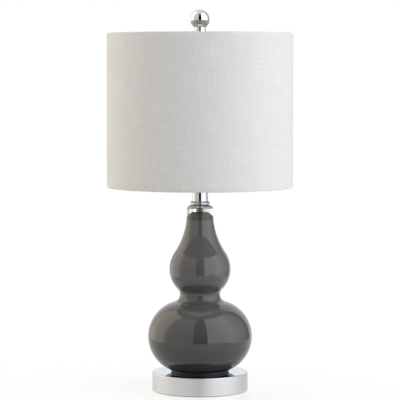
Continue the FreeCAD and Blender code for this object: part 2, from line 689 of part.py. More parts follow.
def draw_gourd_inside(sketch, inset):
    """Half section of the room inside the glass, from its floor to the dome under the clear lip. The
    inset is the wall, or the wall and what lines it, so it lifts the floor and shrinks the dome too."""
    lining = inset - d.glass_wall
    floor = d.glass_floor + lining
    dome_bottom = neck_rise - d.dome_drop
    dome_radius = d.dome_radius - lining
    arc_radius = d.lower_arc_radius.value - inset.value
    floor_drop = lower_centre_rise.value - floor.value
    floor_reach = d.lower_centre_radius.value + math.sqrt(arc_radius ** 2 - floor_drop ** 2)
    neck_radius = neck_arc_radius() + inset.value
    neck_centre = d.neck_radius.value - inset.value + neck_radius
    dome_reach = neck_centre - math.sqrt(neck_radius ** 2 - d.dome_drop.value ** 2)
    start = FreeCAD.Vector(floor_reach, floor.value, 0)
    end = FreeCAD.Vector(dome_reach, dome_bottom.value, 0)
    lower_edge, neck_edge = draw_gourd_side(sketch, inset, start, end)
    pin_y(sketch, lower_edge, 1, floor)
    pin_y(sketch, neck_edge, 1, dome_bottom)

    dome_centre = towards(end, FreeCAD.Vector(neck_centre, neck_rise.value, 0), -dome_radius.value)
    dome_rise = math.sqrt(dome_radius.value ** 2 - dome_centre.x ** 2)
    dome_end = FreeCAD.Vector(0, dome_centre.y + dome_rise, 0)
    dome_edge = sketch.addGeometry(arc_about(dome_centre, dome_radius.value, end, dome_end), False)
    sketch.addConstraint(Sketcher.Constraint("Tangent", neck_edge, 1, dome_edge, 1))
    bind(sketch, "Radius", dome_radius, dome_edge)
    pin_x(sketch, dome_edge, 2, ZERO)
    last_edge, last_end = draw_chain(sketch, dome_edge, 2, [(0, floor)])
    floor_edge = sketch.addGeometry(Part.LineSegment(FreeCAD.Vector(0, floor.value, 0), start), False)
    sketch.addConstraint(Sketcher.Constraint("Coincident", last_edge, last_end, floor_edge, 1))
    sketch.addConstraint(Sketcher.Constraint("Coincident", floor_edge, 2, lower_edge, 1))


def pipe_opening(body, name, radius):
    """A hole along the axis through the whole piece."""
    sketch = new_sketch(body, name, "XY_Plane")
    draw_circle(sketch, 0, 0, radius)
    pocket_through(body, sketch)


glass = doc.addObject("PartDesign::Body", "gourd_glass")
glass_outside = new_sketch(glass, "glass_outside", "XZ_Plane")
draw_gourd_outside(glass_outside)
revolve(glass, glass_outside)
glass_inside = new_sketch(glass, "glass_inside", "XZ_Plane")
draw_gourd_inside(glass_inside, d.glass_wall)
revolve(glass, glass_inside, "PartDesign::Groove")
pipe_opening(glass, "glass_holes", d.glass_hole_radius)
place(glass, z=glass_bottom)
keep(glass, "gourd_glass")

coat = doc.addObject("PartDesign::Body", "colour_coat")
coat_outside = new_sketch(coat, "coat_outside", "XZ_Plane")
draw_gourd_inside(coat_outside, d.glass_wall + d.running_gap)
revolve(coat, coat_outside)
coat_inside = new_sketch(coat, "coat_inside", "XZ_Plane")
draw_gourd_inside(coat_inside, d.glass_wall + d.running_gap + d.coat_thickness)
revolve(coat, coat_inside, "PartDesign::Groove")
pipe_opening(coat, "coat_holes", d.glass_hole_radius)
place(coat, z=glass_bottom)
keep(coat, "colour_coat")

plug_shoulder = d.glass_floor + d.running_gap * 2 + d.coat_thickness
turned("centring_plug", [
    (d.pipe_radius + d.running_gap, 0),
    (d.glass_hole_radius - d.running_gap, 0),
    (d.glass_hole_radius - d.running_gap, plug_shoulder),
    (d.plug_flange_radius, plug_shoulder),
    (d.plug_flange_radius, plug_shoulder + d.plug_flange_thickness),
    (d.pipe_radius + d.running_gap, plug_shoulder + d.plug_flange_thickness),
], glass_bottom)

# Chrome on the neck: gasket, cap, bead ring, nut, tube and washer

gasket_edge = d.neck_radius - d.lip_round - d.running_gap
washer("neck_gasket", gasket_edge - d.neck_gasket_width, gasket_edge, d.neck_gasket_thickness, lip_top)

turned("vase_cap", [
    (pipe_hole, d.cap_height - d.cap_sheet),
    (d.ring_radius - d.cap_sheet, d.cap_height - d.cap_sheet),
    (d.cap_radius - d.cap_foot_width, 0),
    (d.cap_radius, 0),
    (d.cap_radius, d.cap_edge),
    (d.ring_radius, d.cap_height),
    (pipe_hole, d.cap_height),
], cap_bottom)

bead = d.ring_height / 2
turned("bead_ring", [
    (pipe_hole, 0),
    (d.ring_radius - bead, 0, bead, "left"),
    (d.ring_radius, bead, bead, "left"),
    (d.ring_radius - bead, d.ring_height),
    (pipe_hole, d.ring_height),
], ring_bottom)

hex_nut("neck_nut", d.neck_nut_across_flats, d.neck_nut_thickness, tube_bottom)
washer("neck_tube", d.tube_radius - d.tube_wall, d.tube_radius, d.tube_length, tube_bottom)
washer("tube_washer", pipe_hole, d.tube_washer_radius, d.tube_washer_thickness, tube_top)

# Harp saddle, a bent strap whose tongues hold the harp's feet

saddle_outer = d.harp_foot + d.saddle_sheet / 2
saddle_inner = d.harp_foot - d.saddle_sheet / 2
saddle = doc.addObject("PartDesign::Body", "harp_saddle")
strap = new_sketch(saddle, "saddle_strap", "XZ_Plane")
draw_outline(strap, [
    (-d.saddle_flat, 0),
    (d.saddle_flat, 0),
    (saddle_outer, d.saddle_rise),
    (saddle_outer, d.saddle_tongue_top),
    (saddle_inner, d.saddle_tongue_top),
    (saddle_inner, d.saddle_rise + d.saddle_sheet / 2),
    (d.saddle_flat - d.saddle_sheet / 2, d.saddle_sheet),
    (d.saddle_sheet / 2 - d.saddle_flat, d.saddle_sheet),
    (-saddle_inner, d.saddle_rise + d.saddle_sheet / 2),
    (-saddle_inner, d.saddle_tongue_top),
    (-saddle_outer, d.saddle_tongue_top),
    (-saddle_outer, d.saddle_rise),
])
strap_pad = saddle.newObject("PartDesign::Pad", "saddle_pad")
strap_pad.Profile = strap
strap_pad.Midplane = True
strap_pad.setExpression("Length", d.saddle_width.formula)
saddle.Tip = strap_pad
for side, sign in (("front", -1), ("back", 1)):
    corner = new_sketch(saddle, "tongue_corner_" + side, "YZ_Plane")
    near = d.saddle_tongue_width / 2 * sign
    far = d.saddle_width * sign
    draw_outline(corner, [
        (near, d.saddle_shoulder),
        (far, d.saddle_shoulder),
        (far, d.saddle_tongue_top * 2),
        (near, d.saddle_tongue_top * 2),
    ])
    pocket_through(saddle, corner)
hole_wall = new_sketch(saddle, "saddle_hole_wall", "XY_Plane")
draw_circle(hole_wall, 0, 0, pipe_hole + d.saddle_hole_wall)
hole_wall_pad = saddle.newObject("PartDesign::Pad", "saddle_hole_wall_pad")
hole_wall_pad.Profile = hole_wall
hole_wall_pad.setExpression("Length", d.saddle_sheet.formula)
saddle.Tip = hole_wall_pad
pipe_opening(saddle, "saddle_hole", pipe_hole)
place(saddle, z=saddle_bottom)
keep(saddle, "harp_saddle")

# Lamp socket: cup, set screw, shell, paper sleeve, moulded core, threaded shell and contacts

cup_inside = d.socket_cap_radius - d.socket_sheet
cup_bottom = d.socket_boss_height + d.socket_cone_height
socket_cap = turned_blank("socket_cap_blank", [
    (d.pipe_radius + d.running_gap, 0),
    (d.socket_boss_radius, 0),
    (d.socket_boss_radius, d.socket_boss_height),
    (d.socket_cap_radius, cup_bottom),
    (d.socket_cap_radius, d.socket_cap_height),
    (cup_inside, d.socket_cap_height),
    (cup_inside, cup_bottom + d.socket_sheet),
    (d.socket_boss_radius, d.socket_boss_height + d.socket_boss_floor),
    (d.pipe_radius + d.running_gap, d.socket_boss_height + d.socket_boss_floor),
], socket_bottom)

set_screw_start = d.pipe_radius + d.running_gap
set_screw_height = socket_bottom + d.socket_boss_height / 2
screw_way = cylinder("set_screw_way", d.set_screw_radius + d.running_gap, d.socket_boss_radius)
turn(screw_way, 0, 1, 0, 90)
place(screw_way, x=set_screw_start - d.loose_gap, z=set_screw_height)
keep(cut("socket_cap_cut", socket_cap, [screw_way]), "socket_cap")
set_screw = cylinder("set_screw_rod", d.set_screw_radius, d.set_screw_length)
turn(set_screw, 0, 1, 0, 90)
place(set_screw, x=set_screw_start, z=set_screw_height)
keep(set_screw, "set_screw")

shell_outside = cup_inside - d.running_gap
shell_inside = shell_outside - d.socket_sheet
sleeve_outside = shell_inside - d.running_gap
sleeve_inside = sleeve_outside - d.liner_thickness
shell_seat = cup_bottom + d.socket_sheet
stem_height = socket_bottom + d.stem_rise


def socket_tube(label, inner, outer, low, high, stem_hole):
    """A thin tube of the socket with a hole for the switch's stem at the front."""
    tube = turned(label, [(inner, low), (outer, low), (outer, high), (inner, high)], socket_bottom)
    sketch = new_sketch(tube, label + "_stem_hole", "XZ_Plane")
    draw_circle(sketch, 0, d.stem_rise, stem_hole)
    pocket_through(tube, sketch, "front")


socket_tube("socket_shell", shell_inside, shell_outside, shell_seat, d.socket_height,
            d.stem_radius + d.loose_gap)
socket_tube("socket_sleeve", sleeve_inside, sleeve_outside, shell_seat + d.loose_gap,
            d.socket_height - d.liner_recess, d.stem_radius + d.loose_gap)

core_radius = sleeve_inside - d.loose_gap
terminal_height = socket_bottom + (d.core_bottom + d.core_top) / 2
core_blank = cylinder("core_blank", core_radius, d.core_top - d.core_bottom, z=socket_bottom + d.core_bottom)
core_tools = []
screws = []
for side, sign in (("right", 1), ("left", -1)):
    recess = doc.addObject("Part::Box", "terminal_recess_" + side)
    recess.setExpression("Length", core_radius.formula)
    recess.setExpression("Width", (core_radius * 2).formula)
    recess.setExpression("Height", d.core_flat_height.formula)
    corner_x = d.core_flat if sign == 1 else -(d.core_flat + core_radius)
    place(recess, x=corner_x, y=-core_radius, z=terminal_height - d.core_flat_height / 2)
    shank_hole = cylinder("terminal_hole_" + side, d.terminal_shank_radius + d.running_gap,
                          d.terminal_shank_length + d.loose_gap)
    turn(shank_hole, 0, 1, 0, 90 * sign)
    place(shank_hole, x=(d.core_flat - d.terminal_shank_length - d.loose_gap) * sign, z=terminal_height)
    core_tools += [recess, shank_hole]
    head = cylinder("terminal_head_" + side, d.terminal_head_radius, d.terminal_head_thickness)
    shank = cylinder("terminal_shank_" + side, d.terminal_shank_radius, d.terminal_shank_length)
    for rod, start in ((head, d.core_flat), (shank, d.core_flat - d.terminal_shank_length)):
        turn(rod, 0, 1, 0, 90 * sign)
        place(rod, x=start * sign, z=terminal_height)
    screw = doc.addObject("Part::Fuse", "terminal_screw_" + side)
    screw.Base = head
    screw.Tool = shank
    screws.append(screw)
stem_bearing = cylinder("stem_bearing", d.stem_radius + d.running_gap, core_radius * 2)
turn(stem_bearing, 1, 0, 0, 90)
place(stem_bearing, y=d.loose_gap - d.stem_start, z=stem_height)
keep(cut("socket_core_cut", core_blank, core_tools + [stem_bearing]), "socket_core")
terminals = doc.addObject("Part::Compound", "terminals")
terminals.Links = screws
keep(terminals, "terminal_screws")

screw_shell_outside = d.screw_shell_radius + d.screw_shell_sheet
turned("screw_shell", [
    (d.screw_shell_hole_radius, d.core_top),
    (screw_shell_outside, d.core_top),
    (screw_shell_outside, d.socket_height - d.screw_shell_recess),
    (d.screw_shell_radius, d.socket_height - d.screw_shell_recess),
    (d.screw_shell_radius, d.core_top + d.screw_shell_sheet),
    (d.screw_shell_hole_radius, d.core_top + d.screw_shell_sheet),
], socket_bottom)
contact = cylinder("contact_rod", d.contact_radius, d.contact_height, z=socket_bottom + d.core_top)
keep(contact, "centre_contact")

# Switch: a stem in the core and a fluted knob on it, turned about the front-to-back axis

stem = cylinder("stem_rod", d.stem_radius, d.stem_end - d.stem_start)
turn(stem, 1, 0, 0, 90)
place(stem, y=-d.stem_start, z=stem_height)
keep(stem, "switch_stem")

knob = doc.addObject("PartDesign::Body", "switch_knob")
knob_section = new_sketch(knob, "knob_section", "XZ_Plane")
stem_room = d.stem_end - d.knob_start + d.running_gap
draw_outline(knob_section, [
    (d.stem_radius + d.running_gap, 0),
    (d.knob_radius, 0),
    (d.knob_radius, d.knob_length - d.flute_radius, d.flute_radius, "left"),
    (d.knob_radius - d.flute_radius, d.knob_length),
    (0, d.knob_length),
    (0, stem_room),
    (d.stem_radius + d.running_gap, stem_room),
])
revolve(knob, knob_section)
flute = new_sketch(knob, "knob_flute", "XY_Plane")
draw_circle(flute, d.knob_radius + d.flute_radius / 2, 0, d.flute_radius)
flute_cut = pocket_through(knob, flute)
polar_copies(knob, flute_cut, d.flute_count)
turn(knob, 1, 0, 0, 90)
place(knob, y=-d.knob_start, z=stem_height)
keep(knob, "switch_knob")

# Bulb: tip, dark ring, threaded cap, housing and frosted globe

bulb_bottom = socket_bottom + d.core_top + d.contact_height
bulb_cap_radius = d.screw_shell_radius - d.bulb_cap_play
bulb_cap_bottom = d.bulb_tip_height + d.bulb_insulator_height
bulb_cap_top = bulb_cap_bottom + d.bulb_cap_length
globe_centre = d.bulb_length - d.bulb_globe_radius
housing_top = bulb_cap_top + d.bulb_housing_height
globe_room = d.bulb_globe_radius - d.bulb_globe_wall
globe_reach = globe_centre - housing_top
globe_rim = root(d.bulb_globe_radius * d.bulb_globe_radius - globe_reach * globe_reach)
globe_inner_rim = root(globe_room * globe_room - globe_reach * globe_reach)

turned("bulb_tip", [
    (0, 0),
    (d.bulb_tip_point_radius, 0),
    (d.bulb_tip_radius, d.bulb_tip_height),
    (0, d.bulb_tip_height),
], bulb_bottom)
turned("bulb_insulator", [
    (0, d.bulb_tip_height),
    (d.bulb_tip_radius, d.bulb_tip_height),
    (bulb_cap_radius - d.bulb_cap_sheet, bulb_cap_bottom),
    (0, bulb_cap_bottom),
], bulb_bottom)
turned("bulb_cap", [
    (bulb_cap_radius - d.bulb_cap_sheet, bulb_cap_bottom),
    (bulb_cap_radius, bulb_cap_bottom),
    (bulb_cap_radius, bulb_cap_top),
    (bulb_cap_radius - d.bulb_cap_sheet, bulb_cap_top),
], bulb_bottom)
turned("bulb_housing", [
    (0, bulb_cap_top - d.bulb_housing_plug),
    (bulb_cap_radius - d.bulb_cap_sheet - d.running_gap, bulb_cap_top - d.bulb_housing_plug),
    (bulb_cap_radius - d.bulb_cap_sheet - d.running_gap, bulb_cap_top),
    (bulb_cap_radius + d.bulb_rim_overhang, bulb_cap_top),
    (bulb_cap_radius + d.bulb_rim_overhang, bulb_cap_top + d.bulb_housing_rim),
    (globe_rim, housing_top),
    (0, housing_top),
], bulb_bottom)
turned("bulb_globe", [
    (globe_inner_rim, housing_top),
    (globe_rim, housing_top, d.bulb_globe_radius, "left"),
    (d.bulb_globe_radius, globe_centre, d.bulb_globe_radius, "left"),
    (0, globe_centre + d.bulb_globe_radius),
    (0, globe_centre + globe_room, globe_room, "right"),
    (globe_room, globe_centre, globe_room, "right"),
], bulb_bottom)

# Harp: two bowed sides of wire with a flattened top, and a sleeve that locks each foot

# Each side bows out from its foot to its widest place. Above that it bows in until it leans by the
# set angle, where the corner begins that turns it level.
wire_rise = harp_wire_top - harp_foot_bottom
side_spread = d.harp_half_width - d.harp_foot
bow_reach = d.harp_side_arc + d.harp_foot_arc
widest_rise = d.harp_straight + root(bow_reach * side_spread * 2 - side_spread * side_spread)
plate_reach = (d.harp_half_width - d.harp_plate_half_length).value
top_climb = (wire_rise - widest_rise).value
lean = math.radians(d.harp_lean.value)
lean_share = math.cos(lean) + math.sin(lean) - 1
high_radius = (top_climb * math.cos(lean) - plate_reach * (1 - math.sin(lean))) / lean_share
corner_radius = (plate_reach * math.sin(lean) - top_climb * (1 - math.cos(lean))) / lean_share

spine_start = FreeCAD.Vector(d.harp_foot.value, 0, 0)
straight_end = FreeCAD.Vector(d.harp_foot.value, d.harp_straight.value, 0)
foot_centre = straight_end + FreeCAD.Vector(d.harp_foot_arc.value, 0, 0)
widest_place = FreeCAD.Vector(d.harp_half_width.value, widest_rise.value, 0)
low_centre = widest_place - FreeCAD.Vector(d.harp_side_arc.value, 0, 0)
high_centre = widest_place - FreeCAD.Vector(high_radius, 0, 0)
corner_end = FreeCAD.Vector(d.harp_plate_half_length.value, wire_rise.value, 0)
corner_centre = corner_end - FreeCAD.Vector(0, corner_radius, 0)
corner_start = corner_centre + FreeCAD.Vector(math.cos(lean), math.sin(lean), 0) * corner_radius
spine_stop = corner_end - FreeCAD.Vector(d.harp_plate_overlap.value, 0, 0)
bend_end = towards(foot_centre, low_centre, d.harp_foot_arc.value)

harp = doc.addObject("PartDesign::Body", "harp_wire")
plate = new_sketch(harp, "harp_plate", "XY_Plane", wire_rise - d.harp_plate_thickness / 2)
draw_outline(plate, [
    (-d.harp_plate_half_length, -d.harp_plate_half_width),
    (d.harp_plate_half_length, -d.harp_plate_half_width),
    (d.harp_plate_half_length, d.harp_plate_half_width),
    (-d.harp_plate_half_length, d.harp_plate_half_width),
])
draw_circle(plate, 0, 0, d.stud_neck_radius + d.running_gap)
plate_pad = harp.newObject("PartDesign::Pad", "harp_plate_pad")
plate_pad.Profile = plate
plate_pad.setExpression("Length", d.harp_plate_thickness.formula)

spine = new_sketch(harp, "harp_spine", "XZ_Plane")
foot_line = spine.addGeometry(Part.LineSegment(spine_start, straight_end), False)
foot_bend = spine.addGeometry(arc_about(foot_centre, d.harp_foot_arc.value, bend_end, straight_end), False)
low_bow = spine.addGeometry(arc_about(low_centre, d.harp_side_arc.value, bend_end, widest_place), False)
high_bow = spine.addGeometry(arc_about(high_centre, high_radius, widest_place, corner_start), False)
corner_bend = spine.addGeometry(arc_about(corner_centre, corner_radius, corner_start, corner_end), False)
top_line = spine.addGeometry(Part.LineSegment(corner_end, spine_stop), False)
pin_x(spine, foot_line, 1, d.harp_foot)
pin_y(spine, foot_line, 1, ZERO)
spine.addConstraint(Sketcher.Constraint("Vertical", foot_line))
pin_y(spine, foot_line, 2, d.harp_straight)
spine.addConstraint(Sketcher.Constraint("Tangent", foot_line, 2, foot_bend, 2))
bind(spine, "Radius", d.harp_foot_arc, foot_bend)
spine.addConstraint(Sketcher.Constraint("Tangent", foot_bend, 1, low_bow, 1))
bind(spine, "Radius", d.harp_side_arc, low_bow)
pin_x(spine, low_bow, 2, d.harp_half_width)
spine.addConstraint(Sketcher.Constraint("Horizontal", low_bow, 3, low_bow, 2))
spine.addConstraint(Sketcher.Constraint("Tangent", low_bow, 2, high_bow, 1))
lean_angle = spine.addConstraint(Sketcher.Constraint("Angle", high_bow, lean))
spine.setExpression("Constraints[%d]" % lean_angle, d.harp_lean.formula + " * 1 deg")
spine.addConstraint(Sketcher.Constraint("Tangent", high_bow, 2, corner_bend, 1))
spine.addConstraint(Sketcher.Constraint("Tangent", corner_bend, 2, top_line, 1))
spine.addConstraint(Sketcher.Constraint("Horizontal", top_line))
pin_x(spine, top_line, 1, d.harp_plate_half_length)
pin_y(spine, top_line, 1, wire_rise)
pin_x(spine, top_line, 2, d.harp_plate_half_length - d.harp_plate_overlap)
wire_section = new_sketch(harp, "harp_wire_section", "XY_Plane")
draw_circle(wire_section, d.harp_foot, 0, d.harp_wire_radius)
doc.recompute()
side_wire = harp.newObject("PartDesign::AdditivePipe", "harp_side")
side_wire.Profile = wire_section
side_wire.Spine = (spine, ["Edge%d" % (number + 1) for number in range(6)])
harp.Tip = side_wire
other_side = harp.newObject("PartDesign::Mirrored", "harp_other_side")
other_side.Originals = [side_wire]
for feature in harp.Origin.OriginFeatures:
    if feature.Role == "YZ_Plane":
        other_side.MirrorPlane = (feature, [""])
harp.Tip = other_side
place(harp, z=harp_foot_bottom)
keep(harp, "harp_wire")

for side, sign in (("left", -1), ("right", 1)):
    outer = d.sleeve_bore_radius + d.sleeve_wall
    sleeve = washer("harp_sleeve_" + side, d.sleeve_bore_radius, outer, d.sleeve_length,
                    saddle_bottom + d.saddle_shoulder + d.loose_gap)
    place(sleeve, x=d.harp_foot * sign)

neck_bottom = -(d.harp_plate_thickness + d.loose_gap)
turned("swivel_stud", [
    (0, neck_bottom - d.stud_head_thickness),
    (d.stud_head_radius, neck_bottom - d.stud_head_thickness),
    (d.stud_head_radius, neck_bottom),
    (d.stud_neck_radius, neck_bottom),
    (d.stud_neck_radius, 0),
    (d.stud_flange_radius, 0),
    (d.stud_flange_radius, d.stud_flange_thickness),
    (d.stud_radius, d.stud_flange_thickness),
    (d.stud_radius, d.stud_flange_thickness + d.stud_length),
    (0, d.stud_flange_thickness + d.stud_length),
], harp_plate_top)

# Shade: cloth on a stiff sheet, a wire ring at each end, a spider in the top ring and turned-in hems

sheet_outside = d.shade_radius - d.cloth_thickness - d.running_gap
sheet_inside = sheet_outside - d.liner_sheet
ring_middle = sheet_inside - d.running_gap - d.ring_wire_radius
hem_outside = ring_middle - d.ring_wire_radius - d.running_gap
hem_inside = hem_outside - d.cloth_thickness
wall_bottom = shade_bottom + d.cloth_thickness
wall_height = d.shade_height - d.cloth_thickness * 2
ring_inset = d.cloth_thickness + d.ring_wire_radius + d.running_gap

washer("shade_cloth", sheet_outside + d.running_gap, d.shade_radius, wall_height, wall_bottom)
washer("shade_sheet", sheet_inside, sheet_outside, wall_height, wall_bottom)

bottom_ring = doc.addObject("Part::Torus", "bottom_ring_wire")
bottom_ring.setExpression("Radius1", ring_middle.formula)
bottom_ring.setExpression("Radius2", d.ring_wire_radius.formula)
place(bottom_ring, z=shade_bottom + ring_inset)
keep(bottom_ring, "bottom_ring")

spider = doc.addObject("PartDesign::Body", "top_spider")
washer_hole = d.stud_radius + d.washer_hole_play
spider_washer = new_sketch(spider, "spider_washer", "XZ_Plane")
draw_outline(spider_washer, [
    (washer_hole, 0),
    (d.washer_radius, 0),
    (d.washer_radius, d.washer_thickness),
    (washer_hole, d.washer_thickness),
])
revolve(spider, spider_washer)
arm_start = d.washer_radius - d.arm_overlap
top_ring_height = d.spider_recess - ring_inset
arm_section = new_sketch(spider, "arm_section", "XZ_Plane", -arm_start)
draw_circle(arm_section, 0, d.washer_thickness / 2, d.ring_wire_radius)
arm_line = new_sketch(spider, "arm_line", "YZ_Plane")
arm_points = [FreeCAD.Vector(arm_start.value, d.washer_thickness.value / 2, 0),
              FreeCAD.Vector(ring_middle.value, top_ring_height.value, 0)]
arm_edge = arm_line.addGeometry(Part.LineSegment(*arm_points), False)
pin_x(arm_line, arm_edge, 1, arm_start)
pin_y(arm_line, arm_edge, 1, d.washer_thickness / 2)
pin_x(arm_line, arm_edge, 2, ring_middle)
pin_y(arm_line, arm_edge, 2, top_ring_height)
doc.recompute()
arm = spider.newObject("PartDesign::AdditivePipe", "spider_arm")
arm.Profile = arm_section
arm.Spine = (arm_line, ["Edge1"])
spider.Tip = arm
polar_copies(spider, arm, d.arm_count)
top_ring = new_sketch(spider, "top_ring_section", "XZ_Plane")
draw_circle(top_ring, ring_middle, top_ring_height, d.ring_wire_radius)
revolve(spider, top_ring)
place(spider, z=shoulder_top)
keep(spider, "top_spider")


def hem(label, edge_height, inward, notched):
    """Cloth turned in over a ring. Inward is -1 at the top of the shade and 1 at the bottom."""
    body = doc.addObject("PartDesign::Body", label)
    section = new_sketch(body, label + "_section", "XZ_Plane")
    skin = d.cloth_thickness * inward
    depth = d.hem_depth * inward
    corners = [
        (hem_inside, 0),
        (d.shade_radius, 0),
        (d.shade_radius, skin),
        (hem_outside, skin),
        (hem_outside, depth),
        (hem_inside, depth),
    ]
    draw_outline(section, corners)
    revolve(body, section)
    if notched:
        half_width = d.ring_wire_radius + d.arm_notch_play
        notch = new_sketch(body, label + "_notch", "XZ_Plane")
        draw_outline(notch, [
            (-half_width, skin),
            (half_width, skin),
            (half_width, depth * 2),
            (-half_width, depth * 2),
        ])
        notch_cut = pocket_through(body, notch, "back")
        polar_copies(body, notch_cut, d.arm_count)
    place(body, z=edge_height)
    return keep(body, label)


hem("top_hem", shade_top, -1, notched=True)
hem("bottom_hem", shade_bottom, 1, notched=False)

# Finial: a ball on a waisted stem, with a threaded brass insert

insert_room = d.finial_insert_radius + d.running_gap
stud_room = d.stud_radius + d.loose_gap
ball_cut = root(d.finial_ball_radius * d.finial_ball_radius - d.finial_waist_radius * d.finial_waist_radius)
turned("finial_ball", [
    (insert_room, 0),
    (d.finial_foot_radius, 0),
    (d.finial_foot_radius, d.finial_foot_height),
    (d.finial_stem_radius, d.finial_stem_bottom),
    (d.finial_collar_radius, d.finial_collar_bottom),
    (d.finial_collar_radius, d.finial_collar_top),
    (d.finial_waist_radius, d.finial_waist_height),
    (d.finial_waist_radius, d.finial_ball_rise - ball_cut, d.finial_ball_radius, "left"),
    (d.finial_ball_radius, d.finial_ball_rise, d.finial_ball_radius, "left"),
    (0, d.finial_ball_rise + d.finial_ball_radius),
    (0, d.finial_hole_depth),
    (stud_room, d.finial_hole_depth),
    (stud_room, d.finial_insert_length),
    (insert_room, d.finial_insert_length),
], finial_bottom)
washer("finial_insert", d.stud_radius + d.running_gap, d.finial_insert_radius,
       d.finial_insert_length - d.running_gap, finial_bottom)

# Check every object, then write each sub-part

doc.recompute()

for thing in doc.Objects:
    if "Invalid" in thing.State or "Error" in thing.State:
        raise RuntimeError("%s was not built: %s" % (thing.Label, thing.State))
for piece in pieces:
    if piece.Shape.isNull() or not piece.Shape.isValid():
        raise RuntimeError("%s has no valid shape" % piece.Label)

os.makedirs("parts", exist_ok=True)
for piece in pieces:
    piece.Shape.exportStep("parts/%s.step" % piece.Label)

overall_height = finial_bottom + d.finial_ball_rise + d.finial_ball_radius
print("%d sub-parts, %.1f mm tall" % (len(pieces), overall_height.value))
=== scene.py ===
import math

import bmesh
import bpy
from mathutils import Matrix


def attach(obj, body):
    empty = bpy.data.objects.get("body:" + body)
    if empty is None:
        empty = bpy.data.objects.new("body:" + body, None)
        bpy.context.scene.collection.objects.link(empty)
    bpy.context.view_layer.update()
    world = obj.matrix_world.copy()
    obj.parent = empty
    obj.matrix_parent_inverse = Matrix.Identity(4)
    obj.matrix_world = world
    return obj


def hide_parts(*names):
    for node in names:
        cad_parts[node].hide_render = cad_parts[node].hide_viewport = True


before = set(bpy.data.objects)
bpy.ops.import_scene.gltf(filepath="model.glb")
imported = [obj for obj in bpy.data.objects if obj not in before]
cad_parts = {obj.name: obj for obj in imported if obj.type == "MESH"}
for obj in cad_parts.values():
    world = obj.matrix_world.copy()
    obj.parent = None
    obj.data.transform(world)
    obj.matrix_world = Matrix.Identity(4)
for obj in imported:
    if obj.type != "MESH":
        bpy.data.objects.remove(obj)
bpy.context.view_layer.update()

# Felt pad
# A disc of pressed wool felt that keeps the base from scratching the table. It is cut
# with a knife and glued to the cover.


def linear(hex_colour):
    """An sRGB hex colour in linear light, with full alpha."""
    parts = [int(hex_colour[i:i + 2], 16) / 255 for i in (1, 3, 5)]
    return [p / 12.92 if p <= 0.04045 else ((p + 0.055) / 1.055) ** 2.4 for p in parts] + [1.0]


def add(tree, kind, inputs=None, **settings):
    """Add a node with its settings, and fill or link its inputs."""
    made = tree.nodes.new("ShaderNode" + kind)
    for name, value in settings.items():
        setattr(made, name, value)
    for name, value in (inputs or {}).items():
        if isinstance(value, bpy.types.NodeSocket):
            tree.links.new(value, made.inputs[name])
        else:
            made.inputs[name].default_value = value
    return made


def new_material(name):
    """An empty material and its node tree."""
    made = bpy.data.materials.new(name)
    made.use_nodes = True
    made.node_tree.nodes.clear()
    return made, made.node_tree


def finish_nodes(material, *nodes):
    """Give CAD nodes a material."""
    for name in nodes:
        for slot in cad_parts[name].material_slots:
            slot.material = material


# Pressed felt is matt, and its short fibres lie in all directions, about 0.4 mm apart.
felt, tree = new_material("felt_wool_pressed")
place = add(tree, "TexCoord")
fibres = add(tree, "TexNoise", {"Vector": place.outputs["Object"], "Scale": 1 / 0.0008, "Detail": 4.0})
tone = add(tree, "Mix", {0: fibres.outputs[0], 6: linear("#24231f"), 7: linear("#3a3833")}, data_type="RGBA")
bump = add(tree, "Bump", {"Height": fibres.outputs[0], "Strength": 0.6, "Distance": 0.0003})
shader = add(tree, "BsdfPrincipled", {
    "Base Color": tone.outputs[2], "Roughness": 0.95, "Sheen Weight": 0.3, "Sheen Roughness": 0.5,
    "Normal": bump.outputs[0],
})
add(tree, "OutputMaterial", {"Surface": shader.outputs[0]})
finish_nodes(felt, "felt_pad")

# Bottom cover and socket sleeve
# The cover is a disc of pressed fibreboard that closes the base. The sleeve that lines the
# socket is rolled from the same board, as insulation.

# Pressed board is brown, dull, and shows its fibres, about 1.5 mm long.
board, tree = new_material("fibreboard_pressed")
place = add(tree, "TexCoord")
fibres = add(tree, "TexNoise", {"Vector": place.outputs["Object"], "Scale": 1 / 0.0015, "Detail": 5.0})
tone = add(tree, "Mix", {0: fibres.outputs[0], 6: linear("#5a4632"), 7: linear("#8a7152")}, data_type="RGBA")
bump = add(tree, "Bump", {"Height": fibres.outputs[0], "Strength": 0.3, "Distance": 0.0001})
shader = add(tree, "BsdfPrincipled", {
    "Base Color": tone.outputs[2], "Roughness": 0.8, "Normal": bump.outputs[0],
})
add(tree, "OutputMaterial", {"Surface": shader.outputs[0]})
finish_nodes(board, "bottom_cover", "socket_sleeve")

# Base shell, and the chromed neck and finial
# The shell is spun from sheet steel. The cap, bead ring, neck tube, washer and finial are turned.
# All are plated with chromium and polished, apart from the shell's side, which is satin.

# Plated chrome mirrors the room with a slight grey. On the small parts of the neck the grey is
# painted deeper, as painted shade that dims their reflections, and on the polished top of the base
# it is painted bluish, as a painted reflection of a bluish ceiling. The base's side is satin.
# Polishing on the lathe leaves a faint unevenness about 12 mm wide and hairlines round the axis,
# 0.4 mm apart.
chrome, tree = new_material("chrome_plated_polished")
place = add(tree, "TexCoord")
cloudy = add(tree, "TexNoise", {"Vector": place.outputs["Object"], "Scale": 1 / 0.012, "Detail": 2.0})
axes = add(tree, "SeparateXYZ", {0: place.outputs["Object"]})
flat_place = add(tree, "CombineXYZ", {0: axes.outputs[0], 1: axes.outputs[1]})
from_axis = add(tree, "VectorMath", {0: flat_place.outputs[0]}, operation="LENGTH")
lathe_place = add(tree, "CombineXYZ", {0: from_axis.outputs["Value"], 1: axes.outputs[2]})
hairlines = add(tree, "TexNoise", {"Vector": lathe_place.outputs[0], "Scale": 1 / 0.0004, "Detail": 1.0})
polish = add(tree, "MapRange", {0: cloudy.outputs[0], 1: 0.35, 2: 0.7, 3: 0.03, 4: 0.05})
shell_top, above_base, above_neck = 0.0254, 0.03, 0.4
